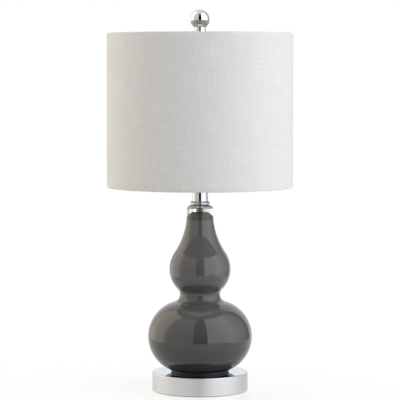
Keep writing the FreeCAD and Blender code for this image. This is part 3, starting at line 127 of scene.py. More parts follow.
satin_side = add(tree, "MapRange", {0: axes.outputs[2], 1: shell_top, 2: shell_top - 0.0002, 4: 0.4})
rough = add(tree, "Math", {0: polish.outputs[0], 1: satin_side.outputs[0]}, operation="ADD")
on_neck = add(tree, "MapRange", {0: axes.outputs[2], 1: above_neck, 2: above_neck - 0.01})
on_base = add(tree, "MapRange", {0: axes.outputs[2], 1: above_base, 2: above_base - 0.001})
on_side = add(tree, "MapRange", {0: axes.outputs[2], 1: shell_top - 0.0001, 2: shell_top - 0.0004})
# Painted shade and reflection: a deeper grey dims the neck, and a bluish tint on the base's top stands in for
# a bluish ceiling mirrored there.
grey, deeper_grey_painted_shade, bluish_painted_reflection = linear("#cccdce"), linear("#bcbdbe"), linear("#c8d1de")
tone = add(tree, "Mix", {0: on_neck.outputs[0], 6: grey, 7: deeper_grey_painted_shade}, data_type="RGBA")
tone = add(tree, "Mix", {0: on_base.outputs[0], 6: tone.outputs[2], 7: bluish_painted_reflection}, data_type="RGBA")
tone = add(tree, "Mix", {0: on_side.outputs[0], 6: tone.outputs[2], 7: grey}, data_type="RGBA")
bump = add(tree, "Bump", {"Height": hairlines.outputs[0], "Strength": 0.05, "Distance": 0.00002})
shader = add(tree, "BsdfPrincipled", {
    "Base Color": tone.outputs[2], "Metallic": 1.0, "Roughness": rough.outputs[0], "Normal": bump.outputs[0],
})
add(tree, "OutputMaterial", {"Surface": shader.outputs[0]})
finish_nodes(chrome, "base_shell", "vase_cap", "bead_ring", "neck_tube", "tube_washer", "finial_ball")

# Base weight
# A disc of grey cast iron under the shell, which keeps the lamp from tipping. It is left as cast.

# Cast iron is dark and dull, with the grain of the moulding sand, about 0.6 mm.
iron, tree = new_material("iron_cast")
place = add(tree, "TexCoord")
sand = add(tree, "TexNoise", {"Vector": place.outputs["Object"], "Scale": 1 / 0.0012, "Detail": 6.0})
tone = add(tree, "Mix", {0: sand.outputs[0], 6: linear("#2f2e2d"), 7: linear("#55524e")}, data_type="RGBA")
bump = add(tree, "Bump", {"Height": sand.outputs[0], "Strength": 0.8, "Distance": 0.0004})
shader = add(tree, "BsdfPrincipled", {
    "Base Color": tone.outputs[2], "Metallic": 0.6, "Roughness": 0.7, "Normal": bump.outputs[0],
})
add(tree, "OutputMaterial", {"Surface": shader.outputs[0]})
finish_nodes(iron, "base_weight")

# Cord gland
# A bushing moulded from black nylon, pressed into the back of the shell where the cord would
# go in.

# Moulded nylon is satin black, with the fine texture of its mould, about 0.5 mm.
nylon, tree = new_material("nylon_moulded")
place = add(tree, "TexCoord")
grain = add(tree, "TexNoise", {"Vector": place.outputs["Object"], "Scale": 1 / 0.0005, "Detail": 2.0})
bump = add(tree, "Bump", {"Height": grain.outputs[0], "Strength": 0.2, "Distance": 0.0001})
satin = add(tree, "MapRange", {0: grain.outputs[0], 3: 0.4, 4: 0.5})
shader = add(tree, "BsdfPrincipled", {
    "Base Color": linear("#171718"), "Roughness": satin.outputs[0], "IOR": 1.53, "Normal": bump.outputs[0],
})
add(tree, "OutputMaterial", {"Surface": shader.outputs[0]})
finish_nodes(nylon, "cord_gland")

# Lamp pipe and its nuts and washers
# A threaded steel pipe runs from the base to the socket and clamps the whole stack. The nuts,
# washers and the socket's set screw are steel too, all plated with zinc.

# Zinc plating is a bluish silver, slightly cloudy in patches about 3 mm wide.
zinc, tree = new_material("steel_zinc_plated")
place = add(tree, "TexCoord")
cloudy = add(tree, "TexNoise", {"Vector": place.outputs["Object"], "Scale": 1 / 0.003, "Detail": 3.0})
tone = add(tree, "Mix", {0: cloudy.outputs[0], 6: linear("#b9bcc2"), 7: linear("#d2d3d0")}, data_type="RGBA")
dull = add(tree, "MapRange", {0: cloudy.outputs[0], 3: 0.25, 4: 0.42})
bump = add(tree, "Bump", {"Height": cloudy.outputs[0], "Strength": 0.1, "Distance": 0.0001})
shader = add(tree, "BsdfPrincipled", {
    "Base Color": tone.outputs[2], "Metallic": 1.0, "Roughness": dull.outputs[0], "Normal": bump.outputs[0],
})
add(tree, "OutputMaterial", {"Surface": shader.outputs[0]})
finish_nodes(zinc, "lower_washer", "lock_washer", "lower_nut", "neck_nut", "set_screw")

# A rolled thread shines on its crests. The pipe's has a pitch of 0.94 mm.
threaded, tree = new_material("steel_thread_rolled")
place = add(tree, "TexCoord")
axes = add(tree, "SeparateXYZ", {0: place.outputs["Object"]})
turn = add(tree, "Math", {0: axes.outputs[1], 1: axes.outputs[0]}, operation="ARCTAN2")
rise = add(tree, "Math", {0: axes.outputs[2], 1: 2 * math.pi / 0.00094}, operation="MULTIPLY")
helix = add(tree, "Math", {0: rise.outputs[0], 1: turn.outputs[0]}, operation="SUBTRACT")
ridge = add(tree, "Math", {0: helix.outputs[0]}, operation="SINE")
bump = add(tree, "Bump", {"Height": ridge.outputs[0], "Strength": 0.8, "Distance": 0.00025})
shader = add(tree, "BsdfPrincipled", {
    "Base Color": linear("#c4c6c8"), "Metallic": 1.0, "Roughness": 0.32, "Normal": bump.outputs[0],
})
add(tree, "OutputMaterial", {"Surface": shader.outputs[0]})
finish_nodes(threaded, "lamp_pipe")

# Rubber rings and plug
# Moulded rubber keeps glass and metal apart: a ring under the foot, a plug that centres the
# pipe in the floor of the gourd, and a ring under the cap.

# Moulded rubber is dark grey and dull, with a faint bloom in patches about 5 mm wide.
rubber, tree = new_material("rubber_moulded")
place = add(tree, "TexCoord")
bloom = add(tree, "TexNoise", {"Vector": place.outputs["Object"], "Scale": 1 / 0.005, "Detail": 4.0})
tone = add(tree, "Mix", {0: bloom.outputs[0], 6: linear("#1d1d1e"), 7: linear("#2e2e2f")}, data_type="RGBA")
dull = add(tree, "MapRange", {0: bloom.outputs[0], 3: 0.55, 4: 0.75})
shader = add(tree, "BsdfPrincipled", {
    "Base Color": tone.outputs[2], "Roughness": dull.outputs[0], "IOR": 1.52,
})
add(tree, "OutputMaterial", {"Surface": shader.outputs[0]})
finish_nodes(rubber, "foot_gasket", "centring_plug", "neck_gasket")

# Double gourd
# Two bulbs and a slender neck in one piece of clear glass, blown into a mould. The lip is
# thick and solid, with a hole for the pipe there and in the floor. Below it, enamel backs
# the glass.


def arc(centre, radius, first, last, steps):
    """Points of an arc about (radius, height), between two angles in degrees."""
    points = []
    for i in range(steps + 1):
        angle = math.radians(first + (last - first) * i / steps)
        points.append((centre[0] + radius * math.cos(angle), centre[1] + radius * math.sin(angle)))
    return points


def bearing(start, end):
    """Direction from one (radius, height) to another, in degrees."""
    return math.degrees(math.atan2(end[1] - start[1], end[0] - start[0]))


# Centres of the arcs that make up the gourd's side, as (radius, height) in mm.
lower_centre = (22.1, 74.0)
waist_centre = (38.209, 131.764)
upper_centre = (3.55, 166.5)
crown_centre = (0.0, 166.5)
neck_centre = (111.33, 243.0)


def gourd_wall(inset, foot_height, top_height):
    """The gourd's side from foot to neck in mm, that far inside its outer face."""
    lower, upper, crown = 49.3 - inset, 38.4 - inset, 41.95 - inset
    waist, neck = 10.669 + inset, 93.13 + inset
    foot = math.degrees(math.asin((foot_height - lower_centre[1]) / lower))
    into_waist = bearing(lower_centre, waist_centre)
    out_of_waist = bearing(waist_centre, upper_centre)
    into_neck = bearing(crown_centre, neck_centre)
    top = 180 - math.degrees(math.asin((top_height - neck_centre[1]) / neck))
    return (
        arc(lower_centre, lower, foot, into_waist, 56)
        + arc(waist_centre, waist, into_waist + 180, out_of_waist, 24)[1:]
        + arc(upper_centre, upper, out_of_waist - 180, 0, 18)[1:]
        + arc(crown_centre, crown, 0, into_neck, 16)[1:]
        + arc(neck_centre, neck, into_neck + 180, top, 20)[1:]
    )


def turned(name, profile, steps):
    """A piece turned about the lamp's axis from a closed outline of (radius, height) in mm."""
    work = bmesh.new()
    rings = []
    for i in range(steps):
        angle = 2 * math.pi * i / steps
        cosine, sine = math.cos(angle), math.sin(angle)
        rings.append([work.verts.new((r * cosine / 1000, r * sine / 1000, z / 1000)) for r, z in profile])
    for i in range(steps):
        this, following = rings[i], rings[(i + 1) % steps]
        for j in range(len(profile)):
            k = (j + 1) % len(profile)
            work.faces.new((this[j], following[j], following[k], this[k]))
    bmesh.ops.recalc_face_normals(work, faces=work.faces)
    mesh = bpy.data.meshes.new(name)
    work.to_mesh(mesh)
    work.free()
    mesh.shade_smooth()
    mesh.set_sharp_from_angle(angle=math.radians(40))
    made = bpy.data.objects.new(name, mesh)
    bpy.context.scene.collection.objects.link(made)
    return made


# Foot, lip and the hole for the pipe, in mm.
foot_radius, foot_face, foot_round, foot_end = 39.6, 26.0, 0.6, 27.91
lip_radius, lip_start, lip_face, lip_round = 18.2, 246.5, 250.6, 1.0
pipe_hole, hole_chamfer, floor_height = 6.5, 0.5, 31.3
foot = arc((foot_radius - foot_round, foot_face + foot_round), foot_round, -90, 0, 4)
outside = [(pipe_hole, foot_face)] + foot + gourd_wall(0.0, foot_end, neck_centre[1])
lip = [(lip_radius, lip_start)]
lip += arc((lip_radius - lip_round, lip_face - lip_round), lip_round, 0, 90, 6)
lip += [(pipe_hole + hole_chamfer, lip_face), (pipe_hole, lip_face - hole_chamfer)]

# The inner face lies in the middle of the coat's thickness, so that the coat wets the glass. A
# dome closes it under the lip.
inner_inset, inside_end = 3.8, 228.0
dome_centre, dome_radius = (-13.77, 223.34), 29.7
inside = gourd_wall(inner_inset, floor_height, inside_end)
dome_start = bearing(dome_centre, inside[-1])
dome_end = math.degrees(math.acos((pipe_hole - dome_centre[0]) / dome_radius))
dome = arc(dome_centre, dome_radius, dome_start, dome_end, 20)[1:]
outline = outside + lip + dome[::-1] + inside[::-1] + [(pipe_hole, floor_height)]
gourd = turned("gourd_blown", outline, 192)

# Blown glass is clear and very smooth. The mould leaves soft waves about 40 mm long.
glass, tree = new_material("glass_clear_blown")
place = add(tree, "TexCoord")
waves = add(tree, "TexNoise", {"Vector": place.outputs["Object"], "Scale": 1 / 0.04, "Detail": 1.0})
bump = add(tree, "Bump", {"Height": waves.outputs[0], "Strength": 0.3, "Distance": 0.0006})
shader = add(tree, "BsdfPrincipled", {
    "Base Color": linear("#e6eae0"), "Roughness": 0.01, "IOR": 1.5, "Transmission Weight": 1.0,
    "Normal": bump.outputs[0],
})
add(tree, "OutputMaterial", {"Surface": shader.outputs[0]})
gourd.data.materials.append(glass)

# Where grey enamel wets the back of the glass, the two show as one deep gloss over a grey with
# faint cloudy patches about 25 mm wide. The grey is painted darker towards the bottom and paler
# towards the neck: painted shade low down, and painted light up under the lampshade, whose shadow it
# offsets. The solid glass of the foot is dark, and its edge is ground matt.
backed, tree = new_material("glass_enamel_backed")
place = add(tree, "TexCoord")
cloudy = add(tree, "TexNoise", {"Vector": place.outputs["Object"], "Scale": 1 / 0.025, "Detail": 3.0})
axes = add(tree, "SeparateXYZ", {0: place.outputs["Object"]})
# Painted light and shade by height alone: the grey darkens towards the bottom and pales towards the neck,
# under the lampshade.
painted_light_upward = add(tree, "MapRange", {0: axes.outputs[2], 1: 0.05, 2: 0.23, 4: 0.95})
patches = add(tree, "MapRange", {0: cloudy.outputs[0], 1: 0.35, 2: 0.65, 4: 0.05})
painted_light_and_patches = add(tree, "Math", {0: painted_light_upward.outputs[0], 1: patches.outputs[0]}, operation="ADD")
tone = add(tree, "Mix", {0: painted_light_and_patches.outputs[0], 6: linear("#454443"), 7: linear("#615f5f")}, data_type="RGBA")
in_foot = add(tree, "MapRange", {0: axes.outputs[2], 1: 0.034, 2: 0.029})
deep = add(tree, "Mix", {0: in_foot.outputs[0], 6: tone.outputs[2], 7: linear("#1a1b1b")}, data_type="RGBA")
on_edge = add(tree, "MapRange", {0: axes.outputs[2], 1: 0.0285, 2: 0.0275})
smooth = add(tree, "MapRange", {0: cloudy.outputs[0], 3: 0.015, 4: 0.035})
ground = add(tree, "Mix", {0: on_edge.outputs[0], 2: smooth.outputs[0], 3: 0.5})
waves = add(tree, "TexNoise", {"Vector": place.outputs["Object"], "Scale": 1 / 0.04, "Detail": 1.0})
bump = add(tree, "Bump", {"Height": waves.outputs[0], "Strength": 0.3, "Distance": 0.0006})
shader = add(tree, "BsdfPrincipled", {
    "Base Color": deep.outputs[2], "Roughness": ground.outputs[0], "IOR": 1.5, "Normal": bump.outputs[0],
})
add(tree, "OutputMaterial", {"Surface": shader.outputs[0]})
gourd.data.materials.append(backed)

enamel_top = 0.2345
for face in gourd.data.polygons:
    face.material_index = 1 if face.center.z < enamel_top else 0
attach(gourd, "lamp_base")
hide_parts("gourd_glass")

# Colour coat
# Warm grey enamel sprayed on the inside of the gourd, up to the solid lip, which stays clear.

# Sprayed enamel is even and matt where it touches the glass, with cloudy patches about 25 mm wide.
enamel, tree = new_material("enamel_sprayed")
place = add(tree, "TexCoord")
cloudy = add(tree, "TexNoise", {"Vector": place.outputs["Object"], "Scale": 1 / 0.025, "Detail": 3.0})
tone = add(tree, "Mix", {0: cloudy.outputs[0], 6: linear("#6a6764"), 7: linear("#716e6a")}, data_type="RGBA")
shader = add(tree, "BsdfPrincipled", {
    "Base Color": tone.outputs[2], "Roughness": 0.6, "Specular IOR Level": 0.1,
})
add(tree, "OutputMaterial", {"Surface": shader.outputs[0]})
finish_nodes(enamel, "colour_coat")

# Harp, saddle, sleeves and swivel stud
# The harp is bent from steel wire with a flattened top, and stands in a pressed strap. Its
# sleeves lock it, and the stud swivels in its top. All are plated with nickel.

# Nickel plating is a warm silver, with fine marks from 0.3 to 2 mm apart.
nickel, tree = new_material("steel_nickel_plated")
place = add(tree, "TexCoord")
marks = add(tree, "TexNoise", {"Vector": place.outputs["Object"], "Scale": 1 / 0.002, "Detail": 3.0})
bright = add(tree, "MapRange", {0: marks.outputs[0], 3: 0.16, 4: 0.3})
bump = add(tree, "Bump", {"Height": marks.outputs[0], "Strength": 0.08, "Distance": 0.00005})
shader = add(tree, "BsdfPrincipled", {
    "Base Color": linear("#cfc6b8"), "Metallic": 1.0, "Roughness": bright.outputs[0],
    "Normal": bump.outputs[0],
})
add(tree, "OutputMaterial", {"Surface": shader.outputs[0]})
finish_nodes(nickel, "harp_saddle", "harp_wire", "harp_sleeve_left", "harp_sleeve_right", "swivel_stud")

# Socket cup and shell
# Drawn from thin brass sheet and plated with nickel. The cup screws onto the pipe, and the shell
# snaps into the cup.

# Drawn and plated sheet is a warm silver with draw lines along its side, about 0.6 mm apart.
drawn, tree = new_material("brass_drawn_nickel_plated")
place = add(tree, "TexCoord")
stretch = add(tree, "Mapping", {0: place.outputs["Object"], "Scale": (1 / 0.0006, 1 / 0.0006, 1 / 0.012)})
lines = add(tree, "TexNoise", {"Vector": stretch.outputs[0], "Scale": 1.0, "Detail": 2.0})
bright = add(tree, "MapRange", {0: lines.outputs[0], 3: 0.14, 4: 0.26})
bump = add(tree, "Bump", {"Height": lines.outputs[0], "Strength": 0.1, "Distance": 0.00003})
shader = add(tree, "BsdfPrincipled", {
    "Base Color": linear("#cdc5b6"), "Metallic": 1.0, "Roughness": bright.outputs[0],
    "Normal": bump.outputs[0],
})
add(tree, "OutputMaterial", {"Surface": shader.outputs[0]})
finish_nodes(drawn, "socket_cap", "socket_shell")

# Socket core, switch knob and the bulb's dark ring
# Moulded from black phenolic. The core holds the terminals and the threaded shell, and the knob
# is fluted for the fingers.

# Moulded phenolic is a brownish black with a dull gloss and a flow pattern about 4 mm wide.
phenolic, tree = new_material("phenolic_moulded")
place = add(tree, "TexCoord")
flow = add(tree, "TexNoise", {
    "Vector": place.outputs["Object"], "Scale": 1 / 0.004, "Detail": 3.0, "Distortion": 1.0,
})
tone = add(tree, "Mix", {0: flow.outputs[0], 6: linear("#141211"), 7: linear("#241f1c")}, data_type="RGBA")
dull = add(tree, "MapRange", {0: flow.outputs[0], 3: 0.25, 4: 0.38})
shader = add(tree, "BsdfPrincipled", {
    "Base Color": tone.outputs[2], "Roughness": dull.outputs[0], "IOR": 1.6,
})
add(tree, "OutputMaterial", {"Surface": shader.outputs[0]})
finish_nodes(phenolic, "socket_core", "switch_knob", "bulb_insulator")

# Terminal screws, middle contact, switch stem and finial insert
# Turned from brass rod and left bare.

# Turned brass is yellow, with fine marks and a little tarnish in patches about 2 mm wide.
brass, tree = new_material("brass_turned")
place = add(tree, "TexCoord")
tarnish = add(tree, "TexNoise", {"Vector": place.outputs["Object"], "Scale": 1 / 0.002, "Detail": 4.0})
tone = add(tree, "Mix", {0: tarnish.outputs[0], 6: linear("#b08a4a"), 7: linear("#e0bf78")}, data_type="RGBA")
dull = add(tree, "MapRange", {0: tarnish.outputs[0], 3: 0.18, 4: 0.38})
bump = add(tree, "Bump", {"Height": tarnish.outputs[0], "Strength": 0.08, "Distance": 0.00005})
shader = add(tree, "BsdfPrincipled", {
    "Base Color": tone.outputs[2], "Metallic": 1.0, "Roughness": dull.outputs[0], "Normal": bump.outputs[0],
})
add(tree, "OutputMaterial", {"Surface": shader.outputs[0]})
finish_nodes(brass, "terminal_screws", "centre_contact", "switch_stem", "finial_insert")

# Threaded shell of the socket and the bulb's cap
# Both are pressed from aluminium sheet, with the same rolled thread.

# Rolled aluminium is bright and slightly dull. The rounded thread has a pitch of 3.63 mm.
aluminium, tree = new_material("aluminium_thread_rolled")
place = add(tree, "TexCoord")
axes = add(tree, "SeparateXYZ", {0: place.outputs["Object"]})
turn = add(tree, "Math", {0: axes.outputs[1], 1: axes.outputs[0]}, operation="ARCTAN2")
rise = add(tree, "Math", {0: axes.outputs[2], 1: 2 * math.pi / 0.00363}, operation="MULTIPLY")
helix = add(tree, "Math", {0: rise.outputs[0], 1: turn.outputs[0]}, operation="SUBTRACT")
ridge = add(tree, "Math", {0: helix.outputs[0]}, operation="SINE")
bump = add(tree, "Bump", {"Height": ridge.outputs[0], "Strength": 1.0, "Distance": 0.0006})
shader = add(tree, "BsdfPrincipled", {
    "Base Color": linear("#d8d9da"), "Metallic": 1.0, "Roughness": 0.28, "Normal": bump.outputs[0],
})
add(tree, "OutputMaterial", {"Surface": shader.outputs[0]})
finish_nodes(aluminium, "screw_shell", "bulb_cap")

# Bulb
# An unlit globe bulb: a solder tip, a moulded white housing, and a globe frosted on the inside.

# Solder sets in a dull grey dome with a wrinkled skin, about 0.8 mm across.
solder, tree = new_material("solder_set")
place = add(tree, "TexCoord")
skin = add(tree, "TexNoise", {"Vector": place.outputs["Object"], "Scale": 1 / 0.0008, "Detail": 3.0})
bump = add(tree, "Bump", {"Height": skin.outputs[0], "Strength": 0.3, "Distance": 0.0001})
shader = add(tree, "BsdfPrincipled", {
    "Base Color": linear("#a9a8a4"), "Metallic": 1.0, "Roughness": 0.4, "Normal": bump.outputs[0],
})
add(tree, "OutputMaterial", {"Surface": shader.outputs[0]})
finish_nodes(solder, "bulb_tip")

# Moulded white plastic is satin, with a spark texture of about 0.4 mm.
plastic, tree = new_material("plastic_white_moulded")
place = add(tree, "TexCoord")
spark = add(tree, "TexNoise", {"Vector": place.outputs["Object"], "Scale": 1 / 0.0004, "Detail": 2.0})
satin = add(tree, "MapRange", {0: spark.outputs[0], 3: 0.35, 4: 0.45})
bump = add(tree, "Bump", {"Height": spark.outputs[0], "Strength": 0.15, "Distance": 0.00005})
shader = add(tree, "BsdfPrincipled", {
    "Base Color": linear("#e6e4df"), "Roughness": satin.outputs[0], "IOR": 1.5, "Normal": bump.outputs[0],
})
add(tree, "OutputMaterial", {"Surface": shader.outputs[0]})
finish_nodes(plastic, "bulb_housing")

# A frosted globe is glossy outside and milky through its wall, with clouds about 15 mm wide.
globe, tree = new_material("glass_frosted_blown")
place = add(tree, "TexCoord")
milk = add(tree, "TexNoise", {"Vector": place.outputs["Object"], "Scale": 1 / 0.015, "Detail": 2.0})
tone = add(tree, "Mix", {0: milk.outputs[0], 6: linear("#e9e8e4"), 7: linear("#f3f2ef")}, data_type="RGBA")
shader = add(tree, "BsdfPrincipled", {
    "Base Color": tone.outputs[2], "Roughness": 0.3, "IOR": 1.5, "Coat Weight": 0.6, "Coat Roughness": 0.05,
})
add(tree, "OutputMaterial", {"Surface": shader.outputs[0]})
finish_nodes(globe, "bulb_globe")

# Rings and spider of the shade
# Bent and welded from steel wire, with a washer that sits on the stud, and powder coated white.

# Powder coat is satin white with a soft orange peel, about 1.5 mm across.
powder, tree = new_material("steel_powder_coated")
place = add(tree, "TexCoord")
peel = add(tree, "TexNoise", {"Vector": place.outputs["Object"], "Scale": 1 / 0.0015, "Detail": 1.0})
satin = add(tree, "MapRange", {0: peel.outputs[0], 3: 0.35, 4: 0.45})
bump = add(tree, "Bump", {"Height": peel.outputs[0], "Strength": 0.2, "Distance": 0.0001})
shader = add(tree, "BsdfPrincipled", {
    "Base Color": linear("#e4e2dd"), "Roughness": satin.outputs[0], "Normal": bump.outputs[0],
})
add(tree, "OutputMaterial", {"Surface": shader.outputs[0]})
finish_nodes(powder, "bottom_ring", "top_spider")

# Stiff sheet of the shade
# White plastic sheet rolled into a drum. It stiffens the linen that is laminated to it.

# Rolled sheet is white and matt inside, with faint waves along the roll, about 20 mm apart.
sheet_white, tree = new_material("plastic_sheet_rolled")
place = add(tree, "TexCoord")
stretch = add(tree, "Mapping", {0: place.outputs["Object"], "Scale": (1 / 0.02, 1 / 0.02, 1 / 0.15)})
waves = add(tree, "TexNoise", {"Vector": stretch.outputs[0], "Scale": 1.0, "Detail": 1.0})
tone = add(tree, "Mix", {0: waves.outputs[0], 6: linear("#e2e0da"), 7: linear("#e9e7e2")}, data_type="RGBA")
dull = add(tree, "MapRange", {0: waves.outputs[0], 3: 0.5, 4: 0.62})
shader = add(tree, "BsdfPrincipled", {
    "Base Color": tone.outputs[2], "Roughness": dull.outputs[0], "IOR": 1.55,
})
add(tree, "OutputMaterial", {"Surface": shader.outputs[0]})
finish_nodes(sheet_white, "shade_sheet")

# Linen of the shade
# One strip of slubbed linen is laminated round the sheet and overlaps itself by 10 mm at the
# back. Its edges are rolled over both rings and turned in, and notched for the spider's arms.
thread_side = 126.725
ring_round = 124.05
roll_radius = 1.775
shoulder_radius = 0.8
hem_side = ring_round - roll_radius
turned_in = (5.9, 4.0, 2.0)
overlap = 10.0
overlap_rise = 3.0
proud = 0.6
seam_angle = math.radians(75)
arm_angles = [math.radians(a) for a in (90, 210, 330)]
notch_half_width = 2.1
bottom_ring_height = 281.1
top_ring_height = 486.4
side_rows = 28
round_columns = 288
notched_rows = 7


def hem(ring_height, up):
    """The rolled edge from the turned-in end to the side, with the ring inside the roll."""
    roll = arc((ring_round, 0.0), roll_radius, 180, 90, 6)
    shoulder_centre = (thread_side - shoulder_radius, roll_radius - shoulder_radius)
    shoulder = arc(shoulder_centre, shoulder_radius, 90, 0, 5)
    flat = [(hem_side, -depth) for depth in turned_in] + roll + shoulder
    return [(r, ring_height + up * z) for r, z in flat]


top_hem = hem(top_ring_height, 1)
bottom_hem = hem(bottom_ring_height, -1)
drum_height = top_ring_height - bottom_ring_height
side = [(thread_side, bottom_ring_height + drum_height * i / side_rows) for i in range(1, side_rows)]
strip = bottom_hem + side + top_hem[::-1]
lengths = [0.0]
for before, after in zip(strip, strip[1:]):
    lengths.append(lengths[-1] + math.hypot(after[0] - before[0], after[1] - before[1]))
outward = []
for i in range(len(strip)):
    before, after = strip[max(i - 1, 0)], strip[min(i + 1, len(strip) - 1)]
    along = (after[0] - before[0], after[1] - before[1])
    size = math.hypot(*along)
    outward.append((along[1] / size, -along[0] / size))

end_angle = seam_angle + 2 * math.pi + overlap / thread_side
columns = [seam_angle + (end_angle - seam_angle) * i / round_columns for i in range(round_columns + 1)]
for arm in arm_angles:
    for step in (-1, 1):
        edge = arm + step * notch_half_width / hem_side
        while edge < seam_angle:
            edge += 2 * math.pi
        nearest = min(range(1, round_columns), key=lambda i: abs(columns[i] - edge))
        columns[nearest] = edge
rising_from = seam_angle + 2 * math.pi - overlap_rise / thread_side

work = bmesh.new()
weave_map = work.loops.layers.uv.new("weave")
grid = []
for angle in columns:
    lift = min(max((angle - rising_from) * thread_side / overlap_rise, 0.0), 1.0) * proud
    # The cut edges inside the hems waver by up to 0.65 mm.
    sway = 0.3 * math.sin(angle * 23) + 0.2 * math.sin(angle * 41 + 1) + 0.15 * math.sin(angle * 67 + 2)
    cosine, sine = math.cos(angle), math.sin(angle)
    grid.append([])
    for i, (r, z) in enumerate(strip):
        reach = r + lift * outward[i][0]
        height = z + lift * outward[i][1]
        if i == 0:
            height += sway
        elif i == len(strip) - 1:
            height -= sway
        grid[-1].append(work.verts.new((reach * cosine / 1000, reach * sine / 1000, height / 1000)))
first_notched_row = len(strip) - notched_rows
for i in range(len(columns) - 1):
    middle = (columns[i] + columns[i + 1]) / 2
    from_arm = min(abs((middle - arm + math.pi) % (2 * math.pi) - math.pi) for arm in arm_angles)
    for j in range(len(strip) - 1):
        if j >= first_notched_row and from_arm * hem_side < notch_half_width:
            continue
        face = work.faces.new((grid[i][j], grid[i + 1][j], grid[i + 1][j + 1], grid[i][j + 1]))
        for loop, (column, row) in zip(face.loops, ((i, j), (i + 1, j), (i + 1, j + 1), (i, j + 1))):
            loop[weave_map].uv = (columns[column] * thread_side / 1000, lengths[row] / 1000)
loose = [v for v in work.verts if not v.link_faces]
bmesh.ops.delete(work, geom=loose, context="VERTS")
mesh = bpy.data.meshes.new("shade_linen")
work.to_mesh(mesh)
work.free()
mesh.shade_smooth()
linen_cover = bpy.data.objects.new("shade_linen", mesh)
bpy.context.scene.collection.objects.link(linen_cover)
thick = linen_cover.modifiers.new("cloth_thickness", "SOLIDIFY")
thick.thickness = 0.00055
thick.offset = 0.0

# Linen is matt and off-white. Its threads lie 0.6 mm apart, too fine for the render, and
# thicker slubs run both ways, lighter than the ground. They are drawn 1.6 mm thick and 35 mm
# long, coarser than real ones, so that they show.
linen, tree = new_material("linen_woven_slubbed")
weave = add(tree, "UVMap", uv_map="weave")
across = add(tree, "Mapping", {0: weave.outputs[0], "Scale": (1 / 0.035, 1 / 0.0016, 1)})
along = add(tree, "Mapping", {
    0: weave.outputs[0], "Scale": (1 / 0.0016, 1 / 0.035, 1), "Location": (7, 3, 0),
})
weft = add(tree, "TexNoise", {
    "Vector": across.outputs[0], "Scale": 1.0, "Detail": 2.0,
}, noise_dimensions="2D")
warp = add(tree, "TexNoise", {
    "Vector": along.outputs[0], "Scale": 1.0, "Detail": 2.0,
}, noise_dimensions="2D")
thick_weft = add(tree, "MapRange", {0: weft.outputs[0], 1: 0.5, 2: 0.75})
thick_warp = add(tree, "MapRange", {0: warp.outputs[0], 1: 0.5, 2: 0.75})
slubs = add(tree, "Math", {0: thick_weft.outputs[0], 1: thick_warp.outputs[0]}, operation="ADD")
axes = add(tree, "SeparateXYZ", {0: weave.outputs[0]})
thread_u = add(tree, "Math", {0: axes.outputs[0], 1: 2 * math.pi / 0.0012}, operation="MULTIPLY")
thread_v = add(tree, "Math", {0: axes.outputs[1], 1: 2 * math.pi / 0.0012}, operation="MULTIPLY")
over_u = add(tree, "Math", {0: thread_u.outputs[0]}, operation="SINE")
over_v = add(tree, "Math", {0: thread_v.outputs[0]}, operation="SINE")
plain_weave = add(tree, "Math", {0: over_u.outputs[0], 1: over_v.outputs[0]}, operation="MULTIPLY")
relief = add(tree, "Math", {0: slubs.outputs[0], 1: plain_weave.outputs[0]}, operation="ADD")
tone = add(tree, "Mix", {0: slubs.outputs[0], 6: linear("#d4d3d2"), 7: linear("#dbdad8")}, data_type="RGBA")
bump = add(tree, "Bump", {"Height": relief.outputs[0], "Strength": 0.35, "Distance": 0.00015})
shader = add(tree, "BsdfPrincipled", {
    "Base Color": tone.outputs[2], "Roughness": 0.85, "Sheen Weight": 0.15, "Sheen Roughness": 0.5,
    "Normal": bump.outputs[0],
})
add(tree, "OutputMaterial", {"Surface": shader.outputs[0]})
linen_cover.data.materials.append(linen)
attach(linen_cover, "shade")
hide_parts("shade_cloth", "top_hem", "bottom_hem")

# Floor
# A plain pale board with a soft gloss, which runs out into the white of the room.


def seen_directly(tree):
    """1 for what the camera, metal and glass see, and 0 for the light that falls on things."""
    path = add(tree, "LightPath")
    direct = add(tree, "Math", {
        0: path.outputs["Is Camera Ray"], 1: path.outputs["Is Glossy Ray"],
    }, operation="MAXIMUM")
    direct = add(tree, "Math", {
        0: direct.outputs[0], 1: path.outputs["Is Transmission Ray"],
    }, operation="MAXIMUM")
    return direct.outputs[0]


half_width = 0.43
floor_mesh = bpy.data.meshes.new("floor")
corners = [(x * half_width, y * half_width, 0) for x, y in ((-1, -1), (1, -1), (1, 1), (-1, 1))]
floor_mesh.from_pydata(corners, [], [(0, 1, 2, 3)])
floor = bpy.data.objects.new("floor", floor_mesh)
bpy.context.scene.collection.objects.link(floor)

# Painted board is pale and satin. Past the lamp's shadow it turns as white as the background.
board_white, tree = new_material("board_painted_white")
place = add(tree, "TexCoord")
painted = add(tree, "BsdfPrincipled", {"Base Color": linear("#888888"), "Roughness": 0.42})
glow = add(tree, "Emission", {"Color": (1, 1, 1, 1), "Strength": 0.62})
lit = add(tree, "AddShader", {0: painted.outputs[0], 1: glow.outputs[0]})
far = add(tree, "VectorMath", {0: place.outputs["Object"]}, operation="LENGTH")
blend = add(tree, "MapRange", {0: far.outputs["Value"], 1: 0.07, 2: 0.36}, interpolation_type="SMOOTHSTEP")
white = add(tree, "Emission", {"Color": (1, 1, 1, 1), "Strength": 1.0})
seen = add(tree, "MixShader", {0: blend.outputs[0], 1: lit.outputs[0], 2: white.outputs[0]})
both = add(tree, "MixShader", {0: seen_directly(tree), 1: painted.outputs[0], 2: seen.outputs[0]})
add(tree, "OutputMaterial", {"Surface": both.outputs[0]})
floor_mesh.materials.append(board_white)

# Light
# Tall soft panels stand in a ring round the lamp: bright ones to the right of the camera, a
# dim one to the left, and warm ones further round on the left. A dark gap between them, where
# the camera stands, shows as a dark streak in glass and chrome.


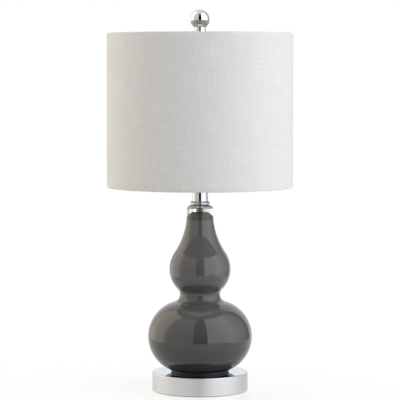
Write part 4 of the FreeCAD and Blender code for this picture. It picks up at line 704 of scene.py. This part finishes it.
def panel(name, foot, head, strength, colour):
    """A soft panel, curved round the lamp. Foot and head are the bearings from the camera, positive
    to the right, of the ends of its lower and upper edge, and strength is its light at the ends."""
    ring_radius, low, high, steps = 2.9, -1.7, 8.0, 24
    mesh = bpy.data.meshes.new(name)
    points, faces = [], []
    for i in range(steps + 1):
        for ends, height in ((foot, low), (head, high)):
            angle = math.radians(ends[0] + (ends[1] - ends[0]) * i / steps)
            points.append((ring_radius * math.sin(angle), -ring_radius * math.cos(angle), height))
    for i in range(steps):
        faces.append((2 * i, 2 * i + 2, 2 * i + 3, 2 * i + 1))
    mesh.from_pydata(points, [], faces)
    made = bpy.data.objects.new(name, mesh)
    bpy.context.scene.collection.objects.link(made)
    fade = mesh.attributes.new("fade", "FLOAT", "POINT")
    for i in range(steps + 1):
        for side in (0, 1):
            fade.data[2 * i + side].value = strength[0] + (strength[1] - strength[0]) * i / steps
    material, tree = new_material(name)
    fading = add(tree, "Attribute", attribute_name="fade")
    light = add(tree, "Emission", {"Color": linear(colour), "Strength": fading.outputs["Fac"]})
    add(tree, "OutputMaterial", {"Surface": light.outputs[0]})
    mesh.materials.append(material)
    made.visible_camera = False


panel("panel_right", (16.5, 79), (16, 97), (1.75, 2.3), "#fbfdff")
panel("panel_far_right", (80, 138), (98, 138), (1.8, 0.1), "#fbfdff")
panel("panel_left", (-76, -15.5), (-76, -14), (0.93, 0.85), "#fffefb")
panel("panel_warm", (-138, -91), (-138, -91), (1.7, 2.1), "#fff6e8")
panel("panel_warm_edge", (-91, -77), (-91, -77), (2.1, 1.0), "#fff6e8")
panel("panel_gap", (-15.5, 16.5), (-14, 16), (0.0, 0.0), "#000000")

world = bpy.data.worlds.new("room")
bpy.context.scene.world = world
world.use_nodes = True
tree = world.node_tree
tree.nodes.clear()
background = add(tree, "Background", {"Color": (1, 1, 1, 1), "Strength": 1.0})
ambient = add(tree, "Background", {"Color": linear("#fbfcff"), "Strength": 0.3})
both = add(tree, "MixShader", {0: seen_directly(tree), 1: ambient.outputs[0], 2: background.outputs[0]})
add(tree, "OutputWorld", {"Surface": both.outputs[0]})

# Camera
# It stands 2.65 m in front of the lamp and 435 mm high, and looks slightly down, as in the photo.
eye = bpy.data.cameras.new("camera")
eye.lens = 174.83
eye.sensor_width = 36.0
camera = bpy.data.objects.new("camera", eye)
camera.location = (0.0, -2.65, 0.435)
looks_down = 3.7516
camera.rotation_euler = (math.radians(90 - looks_down), 0.0, 0.0)
bpy.context.scene.collection.objects.link(camera)
bpy.context.scene.camera = camera
bpy.context.scene.view_settings.view_transform = "Standard"
